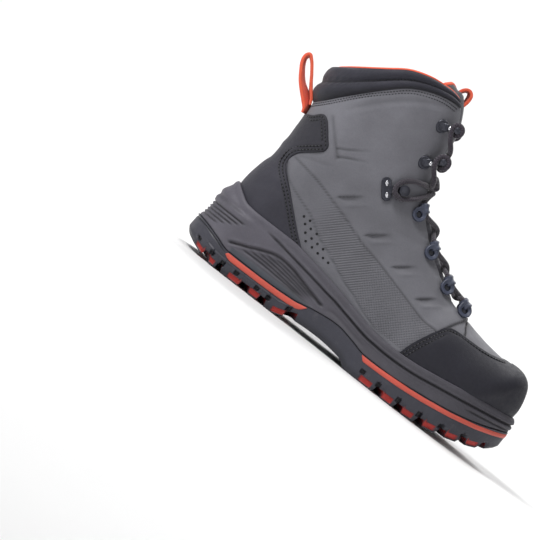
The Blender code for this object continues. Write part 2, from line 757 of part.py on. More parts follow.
# ---------------------------------------------------------------- pull loops
def ribbon_loop(name, line, width, thick, y):
    """Webbing in the side view, a closed band drawn out across the boot."""
    p = Path(line + [line[0]], 3).p[:-1]
    nxt, prv = np.roll(p, -1, 0), np.roll(p, 1, 0)
    t = nxt - prv
    nrm = np.stack([t[:, 1], -t[:, 0]], axis=1) / np.linalg.norm(t, axis=1)[:, None]
    a, b = p + nrm * thick / 2, p - nrm * thick / 2
    n, v, f = len(p), [], []
    for ring in (a, b):
        for s in (-1, 1):
            v += [(q[0], y + s * width / 2, q[1]) for q in ring]
    for k in range(n):
        j = (k + 1) % n
        f += [[k, j, j + n, k + n], [k + 2 * n, k + 3 * n, j + 3 * n, j + 2 * n], [k, k + 2 * n, j + 2 * n, j], [k + n, j + n, j + 3 * n, k + 3 * n]]
    return solid(name, v, f, ORANGE, 0.7)


ribbon_loop(
    "pull_loop_heel",
    [(-14.2, 196), (-20, 202), (-28, 213), (-36, 225), (-41, 229.6), (-41.3, 225.5), (-35, 214), (-26, 203), (-18.5, 194), (-13.2, 188)],
    mm(1e3 * LOOP_WIDTH_HEEL), mm(1e3 * WEBBING), 0,
)
ribbon_loop(
    "pull_loop_tongue",
    [(106.2, 293), (105.8, 298), (108.5, 301), (112, 300), (114.2, 296), (114, 290), (112.3, 287.2), (109.3, 289.2)],
    mm(1e3 * LOOP_WIDTH_TONGUE), mm(1e3 * WEBBING * 0.8), 0,
)


# ---------------------------------------------------------------- loops, hooks and lace
def placed(x, z, side):
    """A frame on the form: point, outward normal, direction up the throat, direction toward the throat."""
    p = surface(np.array([x]), np.array([z]), side)[0]
    n = surface(np.array([x]), np.array([z]), side, 1.0)[0] - p
    s = front_path.share_near(x, z)
    d = front_path.at(s - 0.01)[:2] - front_path.at(s + 0.01)[:2]
    up = np.array([d[0], 0, d[1]])
    up -= n * (up @ n)
    up /= np.linalg.norm(up)
    toward = np.cross(up, n) * (1 if side == 1 else -1)
    return p, n / np.linalg.norm(n), up, toward


def plate_with_hole(name, frame, outline, hole_r, hole_c, low, high, colour, rough, metal):
    """An outline of rays about a hole, drawn out along the frame's normal."""
    p, n, up, toward = frame
    k = len(outline)
    v, f = [], []
    for level in (low, high):
        v += [p + n * level + up * b + toward * a for a, b in outline]
        v += [
            p + n * level + up * (hole_c[1] + hole_r * math.sin(2 * math.pi * i / k)) + toward * (hole_c[0] + hole_r * math.cos(2 * math.pi * i / k))
            for i in range(k)
        ]
    for i in range(k):
        j = (i + 1) % k
        f += [
            [i, j, j + k, i + k],
            [i + 2 * k, i + 3 * k, j + 3 * k, j + 2 * k],
            [i, i + 2 * k, j + 2 * k, j],
            [i + k, j + k, j + 3 * k, i + 3 * k],
        ]
    return solid(name, v, f, colour, rough, metal)


def rays(n, shape):
    """Closed outline about a hole's centre from a radius for each direction."""
    out = []
    for i in range(n):
        a = 2 * math.pi * i / n
        r = shape(a)
        out.append((r * math.cos(a), r * math.sin(a)))
    return out


def moulded_loop(name, x, z, side):
    """A plate that stands on the throat's edge, in line with the foot, with the lace's hole through it."""
    share = front_path.share_near(x, z)
    g = float(smooth(THROAT, (s_throat - share) / (s_throat - s_top)))
    (fx, fz), n2, _ = front_frame(share)
    up2 = front_path.at(share - 0.01)[:2] - front_path.at(share + 0.01)[:2]
    up2 /= np.linalg.norm(up2)
    y = float(centre(fx, fz)) + side * (g + 3.2)
    radius = float(front_path.at(share)[2])
    height = max(-float((np.array([x, z]) - (fx, fz)) @ n2), LOOP_RADIUS + 0.8 - sunk(fx, fz, n2, radius, g + 1.3))
    p = np.array([fx - n2[0] * height, y, fz - n2[1] * height])
    out_dir = np.array([0, side, 0.0])
    up = np.array([up2[0], 0, up2[1]])
    inward = np.array([n2[0], 0, n2[1]])
    shape = lambda a: LOOP_RADIUS + 2.6 * max(0.0, math.cos(a - 0.75)) ** 6
    return plate_with_hole(name, (p, out_dir, up, -inward), rays(12, shape), 3.5, (0, 0), -1.7, 1.7, NAVY, 0.45, 0.0)


def dome(name, frame, rings, colour, rough, metal, n=10, stretch=1.0):
    """A turned button on the form: rings are (radius, height)."""
    p, nn, up, toward = frame
    v, f = [], []
    for r, h in rings:
        v += [p + nn * h + up * (r * stretch * math.sin(2 * math.pi * i / n)) + toward * (r * math.cos(2 * math.pi * i / n)) for i in range(n)]
    for k in range(len(rings) - 1):
        f += [[k * n + i, k * n + (i + 1) % n, (k + 1) * n + (i + 1) % n, (k + 1) * n + i] for i in range(n)]
    f += [list(range(n))[::-1], [(len(rings) - 1) * n + i for i in range(n)]]
    return solid(name, v, f, colour, rough, metal)


for name, hx, hz, kind in HARDWARE:
    for side, tag in ((-1, "lateral"), (1, "medial")):
        if kind == "loop":
            moulded_loop(f"{name}_{tag}", hx, hz, side)
        elif kind == "hook":
            dome(
                f"{name}_{tag}",
                placed(hx, hz, side),
                [(6.6, 0.9), (6.9, 1.9), (3.4, 2.6), (2.5, 3.4), (2.5, 5.6), (6.2, 6.6), (6.4, 7.6), (3.0, 8.6)],
                DARK, 0.4, 0.6,
            )
        else:
            dome(
                f"{name}_{tag}",
                placed(hx, hz, side),
                [(4.4, 0.9), (4.9, 1.9), (3.0, 2.8), (2.4, 3.6), (2.4, 5.6), (4.9, 6.6), (4.9, 7.4), (2.4, 8.2)],
                DARK, 0.4, 0.6, stretch=2.0,
            )


def tube(points, radius, sides=6):
    p = np.array(points, float)
    t = np.gradient(p, axis=0)
    t /= np.linalg.norm(t, axis=1)[:, None]
    v, f = [], []
    for q, d in zip(p, t):
        a = np.cross(d, [0, 0, 1.0])
        a /= np.linalg.norm(a)
        b = np.cross(a, d)
        v += [q + radius * (a * math.cos(2 * math.pi * i / sides) + b * math.sin(2 * math.pi * i / sides)) for i in range(sides)]
    for k in range(len(p) - 1):
        f += [[k * sides + i, k * sides + (i + 1) % sides, (k + 1) * sides + (i + 1) % sides, (k + 1) * sides + i] for i in range(sides)]
    f += [list(range(sides))[::-1], [(len(p) - 1) * sides + i for i in range(sides)]]
    return v, f


def crossing(name, low, high):
    """Two runs of the lace that cross over the tongue between two pairs of loops, joined where they cross."""
    r = mm(1e3 * LACE_RADIUS)
    pair = []
    for side in (-1, 1):
        shares = np.linspace(low, high, 7)
        pts = []
        for k, s in enumerate(shares):
            q = 2 * k / 6 - 1
            g = float(smooth(THROAT, np.clip((s_throat - s) / (s_throat - s_top), 0, 1)))
            y = side * q * (g - 3.6)
            lift = r + mm(1.0) + 2.2 * (1 - q * q)
            pts.append(front_point(s, y, -lift + mm(0.4)))
        pair.append(tube(pts, r))
    ob = solid(name, *pair[0], PURPLE, 0.8)
    other = cutter(solid(name + "_other", *pair[1], PURPLE, 0.8))
    boolean(ob, other, "UNION")
    return ob


stops = [front_path.share_near(hx, hz) for _, hx, hz, kind in HARDWARE if kind == "loop"]
for k, (a, b) in enumerate(zip(stops, stops[1:])):
    crossing(f"lace_crossing_{k + 1}", a - 0.004, b + 0.004)
crossing("lace_crossing_4", stops[3] - 0.012, front_path.share_near(132, 218))
crossing("lace_crossing_5", front_path.share_near(131, 224), front_path.share_near(125, 252))

# ---------------------------------------------------------------- origin at the middle of the footprint
low, high = np.full(3, 1e9), np.full(3, -1e9)
for ob in MADE:
    co = np.array([v.co for v in ob.data.vertices])
    if ob.name not in ("heel_counter", "toe_cap"):
        low, high = np.minimum(low, co.min(0)), np.maximum(high, co.max(0))
shift = -(low + high) / 2
shift[2] = 0.0
for ob in bpy.data.objects:
    if ob.type == "MESH":
        ob.data.transform(Matrix.Translation(shift))
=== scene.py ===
"""A wading boot, the right one of a pair: the looks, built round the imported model.

Everything is laid out in the tables' units (385 to the sole's length, floor at FLOOR) and turned to metres at the end.
"""

import math

import bmesh
import bpy
import numpy as np
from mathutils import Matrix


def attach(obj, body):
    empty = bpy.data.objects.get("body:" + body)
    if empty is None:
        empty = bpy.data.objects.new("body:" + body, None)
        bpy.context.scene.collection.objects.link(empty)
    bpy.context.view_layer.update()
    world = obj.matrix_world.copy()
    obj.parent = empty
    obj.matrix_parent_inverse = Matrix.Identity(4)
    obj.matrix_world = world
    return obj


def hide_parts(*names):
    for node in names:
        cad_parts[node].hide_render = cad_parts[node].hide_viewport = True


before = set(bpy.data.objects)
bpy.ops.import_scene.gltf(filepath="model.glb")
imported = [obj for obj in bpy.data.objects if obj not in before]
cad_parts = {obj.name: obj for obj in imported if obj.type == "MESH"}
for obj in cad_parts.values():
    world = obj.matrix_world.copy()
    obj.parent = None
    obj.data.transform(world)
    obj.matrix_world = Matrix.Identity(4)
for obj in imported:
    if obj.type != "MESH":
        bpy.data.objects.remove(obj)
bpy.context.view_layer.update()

# ---------------------------------------------------------------- the form, as in the source
UNIT = 0.320 / 385.0
FLOOR = 2.0
SHIFT = np.array([-0.1291390359401703, -0.0008192360401153564, 0.0])
WALL, GAP, OVERLAY = 0.0025, 0.0003, 0.0010
TONGUE_THICK, TONGUE_UNDER = 0.0040, 0.0041
LACE_RADIUS = 0.0021
HEEL_ROUND, TOE_ROUND = 46.0, 80.0
LOOP_RADIUS = 7.0


def mm(v):
    """Millimetres in table units."""
    return v * 1e-3 / UNIT


# side outline of the form, up the back: x, z, rounding radius
BACK = [
    (-7, 44, 42),
    (-11, 54, 42),
    (-14, 68, 42),
    (-16, 84, 43),
    (-15, 100, 45),
    (-10.5, 120, 47),
    (-7, 137, 49),
    (-6.3, 158, 51),
    (-7.5, 182, 54),
    (-10, 200, 57),
    (-11, 220, 60),
    (-10.5, 242, 62),
]
# down the front: shaft, instep, vamp, toe
FRONT = [
    (98.6, 301.2, 62),
    (112.8, 288.8, 62),
    (123.0, 273, 62),
    (128.6, 255.6, 62),
    (131.9, 236, 62),
    (134.4, 216.5, 62),
    (141, 196, 62),
    (155, 175, 61),
    (176.6, 154.8, 59),
    (201.4, 137.4, 57),
    (225.2, 124.2, 55),
    (248.8, 115.4, 52),
    (275, 109.5, 47),
    (303, 106.5, 43),
    (322, 107, 40),
    (333, 104, 44),
    (340, 97.5, 51),
    (344.5, 86, 60),
    (346.5, 72, 65),
    (344, 56, 66),
    (339, 44, 66),
]
# plan of the form: x, half width, centre line
PLAN = [
    (-33, 41, 0),
    (20, 42.5, 0),
    (70, 41.5, -1),
    (120, 41.5, -4),
    (170, 48.5, -5),
    (210, 57, -3.5),
    (245, 61.5, 0),
    (280, 60.5, 4),
    (320, 55, 9),
    (354, 48, 13),
]
# shaft: z, half width
SHAFT = [(60, 42), (110, 42.5), (140, 45.5), (160, 47), (190, 48.5), (220, 51.5), (250, 56), (300, 61)]
# foot bed under the insole, feather line, parting line of midsole and outsole, lug tips: x, z
BED = [(-33, 49), (60, 47), (120, 44), (180, 37.5), (240, 36), (300, 42.5), (354, 54)]
FEATHER = [
    (-33, 90), (-18, 84.5), (-10, 80), (5, 73), (25, 72), (60, 72), (90, 68.3), (120, 63),
    (150, 57), (180, 50.5), (200, 49), (230, 50.5), (260, 54.5), (300, 60.3), (354, 65),
]
PARTING = [
    (-33, 35), (-20, 33.5), (0, 28.5), (17, 24), (60, 23.8), (100, 26), (120, 30), (148, 33),
    (170, 29.5), (188, 25.8), (215, 26), (245, 28.5), (275, 32), (310, 38), (354, 50),
]
TREAD = [
    (-33, 21), (-30, 15.5), (-20, 10.5), (-10, 7), (2, 3.6), (16, 2), (86, 2), (96, 4.5), (110, 9.5),
    (140, 11), (168, 8.5), (182, 2), (248, 2), (265, 3.2), (290, 7), (315, 13), (335, 19.5), (354, 31),
]
# sole wall from parting line (0) to rim (1): share, x of the heel, x of the toe, margin past the form
SOLE_WALL = [
    (0.00, -31.5, 353.0, 6.6),
    (0.18, -29.0, 353.5, 5.8),
    (0.42, -28.0, 353.5, 5.2),
    (0.62, -28.3, 353.0, 5.0),
    (0.82, -24.0, 352.0, 4.4),
    (1.00, -20.5, 350.5, 3.8),
]
# seam at the top of the upper, and the collar's top edge: x, z
COLLAR_SEAM = [(-9.5, 195), (0, 203), (20, 224), (40, 244), (60, 262), (80, 273), (100, 279), (112, 279.5)]
COLLAR_TOP = [(-10.5, 238), (10, 250), (30, 263), (50, 276.5), (70, 284), (86, 287), (97, 288), (104, 284)]
# collar rolls: share up the collar, how proud in mm, how deep inside in mm
COLLAR_ROLLS = [(0.0, 0.4, 2.6), (0.22, 2.9, 7.0), (0.5, 0.7, 7.5), (0.76, 2.9, 6.5), (1.0, 0.2, 2.6)]
# half width of the throat: share of the way from vamp to collar
THROAT_START = (248, 113.5)
THROAT = [(0.0, 8), (0.08, 12), (0.3, 14.5), (0.6, 17.5), (1.0, 20.5)]
# tongue half width: share of the way from its vamp end to its top
TONGUE = [(0.0, 20), (0.12, 24), (0.35, 28), (0.65, 34), (0.9, 44), (1.0, 40)]
# heel counter's front edge and the toe cap's rear and top edge: x, z
COUNTER_EDGE = [
    (-12, 179), (-4, 182.5), (5, 189), (10, 191), (16, 188), (24, 179), (32, 169.5), (32.5, 163),
    (24, 154), (12, 144), (8.5, 135), (10, 126.5), (20, 117), (40, 100), (60, 82), (76, 68),
]
CAP_EDGE = [
    (212, 46), (218, 60), (227, 80), (234, 92.5), (242, 99), (255, 101), (275, 101.3), (298, 103.6),
    (307, 106.2), (312.5, 110.5), (315, 117),
]
LOOP_RADIUS = 7.0
# loops and hooks on the lateral side, up the throat: name, x, z, kind
HARDWARE = [
    ("loop_1", 241, 121, "loop"),
    ("loop_2", 213, 131, "loop"),
    ("loop_3", 181, 149, "loop"),
    ("loop_4", 148, 172, "loop"),
    ("lock_hook", 108, 171, "lock"),
    ("hook_1", 120, 215, "hook"),
    ("hook_2", 112, 252, "hook"),
]


# ---------------------------------------------------------------- curves
def smooth(table, q, column=1):
    """Value of a table's column at q, on a smooth curve with no overshoot."""
    xs = np.array([r[0] for r in table], float)
    ys = np.array([r[column] for r in table], float)
    h = np.diff(xs)
    d = np.diff(ys) / h
    m = np.concatenate([[d[0]], np.zeros(len(d) - 1), [d[-1]]])
    same = d[:-1] * d[1:] > 0
    w1, w2 = 2 * h[1:] + h[:-1], h[1:] + 2 * h[:-1]
    safe0, safe1 = np.where(same, d[:-1], 1), np.where(same, d[1:], 1)
    m[1:-1] = np.where(same, (w1 + w2) / (w1 / safe0 + w2 / safe1), 0)
    q = np.clip(np.asarray(q, float), xs[0], xs[-1])
    i = np.clip(np.searchsorted(xs, q, side="right") - 1, 0, len(h) - 1)
    t = (q - xs[i]) / h[i]
    return (
        ys[i] * (1 + 2 * t) * (1 - t) ** 2
        + m[i] * h[i] * t * (1 - t) ** 2
        + ys[i + 1] * t * t * (3 - 2 * t)
        + m[i + 1] * h[i] * t * t * (t - 1)
    )


class Path:
    """A smooth curve through a table's points, read by share of its length."""

    def __init__(self, rows, per=24):
        p = np.array(rows, float)
        ends = np.vstack([2 * p[0] - p[1], p, 2 * p[-1] - p[-2]])
        out = []
        for k in range(len(p) - 1):
            a, b, c, d = ends[k : k + 4]
            t = np.linspace(0, 1, per, endpoint=False)[:, None]
            out.append(0.5 * (2 * b + (c - a) * t + (2 * a - 5 * b + 4 * c - d) * t**2 + (3 * b - a - 3 * c + d) * t**3))
        self.p = np.vstack(out + [p[-1:]])
        s = np.concatenate([[0], np.cumsum(np.linalg.norm(np.diff(self.p[:, :2], axis=0), axis=1))])
        self.length, self.s = s[-1], s / s[-1]

    def at(self, share):
        return np.stack([np.interp(share, self.s, self.p[:, c]) for c in range(self.p.shape[1])], axis=-1)

    def share_near(self, x, z):
        return float(self.s[np.argmin(np.hypot(self.p[:, 0] - x, self.p[:, 1] - z))])


def step(a, b, q):
    t = np.clip((np.asarray(q, float) - a) / (b - a), 0, 1)
    return t * t * (3 - 2 * t)


back_path, front_path = Path(BACK), Path(FRONT)


# ---------------------------------------------------------------- the form of the upper
def _away(path, x, z, side):
    """Distance inward from one outline over its rounding radius; negative outside."""
    p, d = path.p[:-1, :2], np.diff(path.p[:, :2], axis=0)
    best = np.full(x.shape, 1e9)
    value = np.zeros(x.shape)
    ll = (d**2).sum(1)
    for k in range(len(p)):
        rx, rz = x - p[k, 0], z - p[k, 1]
        t = np.clip((rx * d[k, 0] + rz * d[k, 1]) / ll[k], 0, 1)
        ex, ez = rx - t * d[k, 0], rz - t * d[k, 1]
        dist = np.hypot(ex, ez)
        sign = np.where((d[k, 0] * rz - d[k, 1] * rx) * side >= 0, 1, -1)
        radius = path.p[k, 2] + t * (path.p[k + 1, 2] - path.p[k, 2])
        closer = dist < best
        best = np.where(closer, dist, best)
        value = np.where(closer, sign * dist / radius, value)
    return value


def half_base(x, z):
    w = step(60, 150, z)
    return (1 - w) * smooth(PLAN, x, 1) + w * smooth(SHAFT, z, 1)


def centre(x, z):
    return smooth(PLAN, x, 2) * (1 - step(60, 170, z))


# the form's half width squared, kept on a fine grid so that dense sheets can read it quickly
GX0, GX1, GZ0, GZ1 = -75, 400, -12, 335


def _form_table():
    x, z = np.meshgrid(np.arange(GX0, GX1 + 1.0), np.arange(GZ0, GZ1 + 1.0), indexing="ij")
    s = np.minimum(np.minimum(_away(back_path, x, z, -1), _away(front_path, x, z, -1)), 1)
    k = np.exp(-0.5 * (np.arange(-14, 15) / 5.0) ** 2)
    k /= k.sum()
    soft = s
    for axis in (0, 1):
        soft = np.apply_along_axis(lambda r: np.convolve(np.pad(r, 14, mode="edge"), k, "valid"), axis, soft)
    s = s + (soft - s) * step(0.10, 0.45, s)
    h = half_base(x, z)
    return h * h * (2 * s - s * s)


FORM = _form_table()


def lookup(x, z):
    """Half width squared and its two slopes."""
    fx = np.clip(np.asarray(x, float) - GX0, 1, FORM.shape[0] - 3.001)
    fz = np.clip(np.asarray(z, float) - GZ0, 1, FORM.shape[1] - 3.001)
    i, j = fx.astype(int), fz.astype(int)
    t, r = fx - i, fz - j

    def weights(q):
        return (
            (0.5 * (-q + 2 * q**2 - q**3), 0.5 * (2 - 5 * q**2 + 3 * q**3), 0.5 * (q + 4 * q**2 - 3 * q**3), 0.5 * (q**3 - q**2)),
            (0.5 * (-1 + 4 * q - 3 * q**2), 0.5 * (-10 * q + 9 * q**2), 0.5 * (1 + 8 * q - 9 * q**2), 0.5 * (3 * q**2 - 2 * q)),
        )

    (wx, dx), (wz, dz) = weights(t), weights(r)
    v = gx = gz = 0.0
    for a in range(4):
        for b in range(4):
            f = FORM[i + a - 1, j + b - 1]
            v, gx, gz = v + wx[a] * wz[b] * f, gx + dx[a] * wz[b] * f, gz + wx[a] * dz[b] * f
    return v, gx, gz


def surface(x, z, side, offset=0.0, pin=None):
    """Points of the form on one side (-1 lateral, +1 medial), moved out by offset. Pinned points lie on the centre line."""
    x, z = np.atleast_1d(np.asarray(x, float)), np.atleast_1d(np.asarray(z, float))
    e = 0.4
    w2, gx, gz = lookup(x, z)
    w = np.sqrt(np.maximum(w2, 0))
    if pin is not None:
        w = np.where(pin, 0, w)
    cx = (centre(x + e, z) - centre(x - e, z)) / (2 * e)
    cz = (centre(x, z + e) - centre(x, z - e)) / (2 * e)
    n = np.stack([-gx / 2 - side * w * cx, side * w, -gz / 2 - side * w * cz], axis=-1)
    n /= np.maximum(np.linalg.norm(n, axis=-1, keepdims=True), 1e-9)
    p = np.stack([x, centre(x, z) + side * w, z], axis=-1)
    return p + n * np.broadcast_to(np.asarray(offset, float), x.shape)[..., None]


def coons(bottom, top, back, front, us, vs):
    """Side-view grid between four edges given as arrays of points."""
    u, v = us[None, :, None], vs[:, None, None]
    b, t, l, r = bottom[None], top[None], back[:, None], front[:, None]
    corners = (1 - u) * (1 - v) * bottom[0] + u * (1 - v) * bottom[-1] + (1 - u) * v * top[0] + u * v * top[-1]
    return (1 - v) * b + v * t + (1 - u) * l + u * r - corners


def front_point(share, y, depth):
    """A point behind the front outline: y across from the centre line, and depth under the form's face."""
    (x, z), n, radius = front_frame(share)
    slope = (sunk(x, z, n, radius, y + 0.2) - sunk(x, z, n, radius, y - 0.2)) / 0.4
    k = depth / math.hypot(1, slope)
    sink = sunk(x, z, n, radius, y) + k
    px, pz = x + n[0] * sink, z + n[1] * sink
    return np.array([px, float(centre(px, pz)) + y - k * slope, pz])


def line_ends(table, lift=0.0):
    """Where a line across the form meets its back and front outlines."""
    out = []
    for path in (back_path, front_path):
        k = np.argmin(np.abs(smooth(table, path.p[:, 0]) + lift - path.p[:, 1]) + 1e3 * (path.p[:, 1] > 96))
        out.append(path.p[k, :2])
    return out


def across(table, us, lift=0.0):
    """Points of a line on the form's side from back outline to front outline."""
    (x0, _), (x1, _) = line_ends(table, lift)
    x = x0 + (x1 - x0) * us
    return np.stack([x, smooth(table, x) + lift], axis=-1)


def sunk(x, z, n, radius, y):
    """How far under the front outline the form is y wide to each side."""
    depth = 0.0
    for _ in range(4):  # the width changes a little on the way in
        h = float(half_base(x + n[0] * depth, z + n[1] * depth))
        depth = radius * (1 - math.sqrt(1 - min(abs(y) / h, 0.97) ** 2))
    return depth


def front_frame(share):
    """Point on the front outline, the direction into the boot, and the rounding radius."""
    x, z, radius = front_path.at(share)
    dx, dz = front_path.at(min(share + 0.004, 1))[:2] - front_path.at(max(share - 0.004, 0))[:2]
    return np.array([x, z]), np.array([dz, -dx]) / math.hypot(dx, dz), float(radius)


def throat_front(share, gap):
    """Front outline point, sunk to where the form is 2 x gap wide."""
    (x, z), n, radius = front_frame(share)
    return np.array([x, z]) + n * sunk(x, z, n, radius, gap)


feather_ends = line_ends(FEATHER)
s_feather, s_throat, s_top = (
    front_path.share_near(*feather_ends[1]),
    front_path.share_near(*THROAT_START),
    front_path.share_near(112, 279),
)
b_feather, b_top = back_path.share_near(*feather_ends[0]), back_path.share_near(-9.5, 195)
corner = throat_front(s_top, float(smooth(THROAT, 1.0)))
seam = Path(COLLAR_SEAM[:-1] + [tuple(corner)])
front_length = (s_feather - s_top) * front_path.length
u_corner = seam.length / (seam.length + front_length)
u_throat = u_corner + (1 - u_corner) * (s_throat - s_top) / (s_feather - s_top)


def top_edge(u):
    """The upper's top edge: along the collar seam, then down the throat, then the centre line to the toe."""
    if u <= u_corner + 1e-9:
        return seam.at(u / u_corner)
    share = s_top + (u - u_corner) / (1 - u_corner) * (s_feather - s_top)
    if u < u_throat - 1e-6:
        return throat_front(share, float(smooth(THROAT, (u_throat - u) / (u_throat - u_corner))))
    return front_path.at(share)[:2]

# ---------------------------------------------------------------- meshes
def metres(p):
    p = np.asarray(p, float)
    return np.stack([p[..., 0] * UNIT, p[..., 1] * UNIT, (p[..., 2] - FLOOR) * UNIT], axis=-1) + SHIFT


class Bag:
    """Collects the parts of one piece."""

    def __init__(self):
        self.v, self.f, self.a, self.n = [], [], {}, 0

    def add(self, verts, faces, **attrs):
        verts = np.asarray(verts, float).reshape(-1, 3)
        faces = [np.asarray(faces) + self.n] if isinstance(faces, np.ndarray) else [[i + self.n for i in f] for f in faces]
        self.v.append(verts)
        if isinstance(faces[0], np.ndarray):
            self.f += faces[0].tolist()
        else:
            self.f += faces
        for k in set(self.a) | set(attrs):
            self.a.setdefault(k, [(self.n, None)] if self.n else [])
            self.a[k].append((len(verts), attrs.get(k)))
        self.n += len(verts)
        return self


def piece(name, bag, finish, weld=False, sharp=None, node=None):
    """One object from a bag, in metres, riding on the boot."""
    me = bpy.data.meshes.new(name)
    verts = metres(np.vstack(bag.v))
    me.from_pydata(verts.tolist(), [], bag.f)
    for k, runs in bag.a.items():
        width = 3 if k == "flat" else 1
        data = np.concatenate([
            np.zeros((n, width)) if value is None else np.broadcast_to(np.asarray(value, float).reshape(-1, width), (n, width))
            for n, value in runs
        ])
        layer = me.attributes.new(k, "FLOAT_VECTOR" if width == 3 else "FLOAT", "POINT")
        layer.data.foreach_set("vector" if width == 3 else "value", data.astype(np.float32).ravel())
    if weld:
        bm = bmesh.new()
        bm.from_mesh(me)
        bmesh.ops.remove_doubles(bm, verts=bm.verts, dist=2e-6)
        bmesh.ops.dissolve_degenerate(bm, dist=1e-7, edges=bm.edges)
        bm.to_mesh(me)
        bm.free()
    me.validate()
    me.shade_smooth()
    if sharp:
        me.set_sharp_from_angle(angle=math.radians(sharp))
    ob = bpy.data.objects.new(name, me)
    bpy.context.scene.collection.objects.link(ob)
    for m in finish if isinstance(finish, (list, tuple)) else [finish]:
        me.materials.append(m)
    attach(ob, "root")
    if node:
        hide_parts(*([node] if isinstance(node, str) else node))
    return ob


def grid_faces(rows, cols, flip=False, keep=None):
    i = np.arange(rows * cols).reshape(rows, cols)
    q = np.stack([i[:-1, :-1], i[:-1, 1:], i[1:, 1:], i[1:, :-1]], axis=-1)
    q = q[keep] if keep is not None else q.reshape(-1, 4)
    return q[:, ::-1] if flip else q


def two_sides(bag, grid, offset, pin=None, keep=None, inside=False, **attrs):
    """A sheet over both sides of the form."""
    rows, cols = grid.shape[:2]
    x, z = grid[..., 0].ravel(), grid[..., 1].ravel()
    off = np.broadcast_to(np.asarray(offset, float), (rows, cols)).ravel()
    p = None if pin is None else pin.ravel()
    for side in (-1, 1):
        pts = surface(x, z, side, off, p)
        bag.add(
            pts, grid_faces(rows, cols, (side == 1) != inside, keep),
            flat=np.stack([x, z, np.full_like(x, side)], axis=-1) / 100,
            **{k: np.broadcast_to(a, (rows, cols)).ravel() for k, a in attrs.items()},
        )


def along(line, x, z, reach=12.0, per=6):
    """Signed distance to a line (positive on its left), and how far along it the nearest point is."""
    path = Path(line, per)
    p = path.p[:, :2]
    low, high = p.min(0) - reach, p.max(0) + reach
    near = (x > low[0]) & (x < high[0]) & (z > low[1]) & (z < high[1])
    dist, where = np.full(x.shape, 99.0), np.zeros(x.shape)
    xn, zn = x[near], z[near]
    best, sign, run = np.full(xn.shape, 1e9), np.ones(xn.shape), np.zeros(xn.shape)
    for k in range(len(p) - 1):
        d = p[k + 1] - p[k]
        rx, rz = xn - p[k, 0], zn - p[k, 1]
        ll = d @ d
        t = np.clip((rx * d[0] + rz * d[1]) / ll, 0, 1)
        e = np.hypot(rx - t * d[0], rz - t * d[1])
        closer = e < best
        best = np.where(closer, e, best)
        sign = np.where(closer, np.where(d[0] * rz - d[1] * rx >= 0, 1, -1), sign)
        run = np.where(closer, (path.s[k] + t * (path.s[k + 1] - path.s[k])) * path.length, run)
    dist[near], where[near] = best * sign, run
    return dist, where, path.length


class Relief:
    """Height over a sheet, in table units, with the shade painted into its creases."""

    def __init__(self, x, z):
        self.x, self.z = x, z
        self.h, self.dark = np.zeros(x.shape), np.zeros(x.shape)

    def groove(self, line, depth, width, ends=(0, 0), dark=0.5, lip=0.0):
        d, s, length = along(line, self.x, self.z, 4 * width + 4)
        fade = np.ones_like(s)
        if ends[0]:
            fade = fade * step(0, ends[0], s)
        if ends[1]:
            fade = fade * (1 - step(length - ends[1], length, s))
        g = np.exp(-((d / width) ** 2)) * fade
        self.h -= depth * g
        # painted shade in the groove
        self.dark += dark * g
        if lip:
            self.h += lip * np.exp(-(((np.abs(d) - 2.2 * width) / (0.9 * width)) ** 2)) * fade

    def fold(self, line, height, width, ends=(8, 8)):
        self.groove(line, -height, width, ends, 0.0)




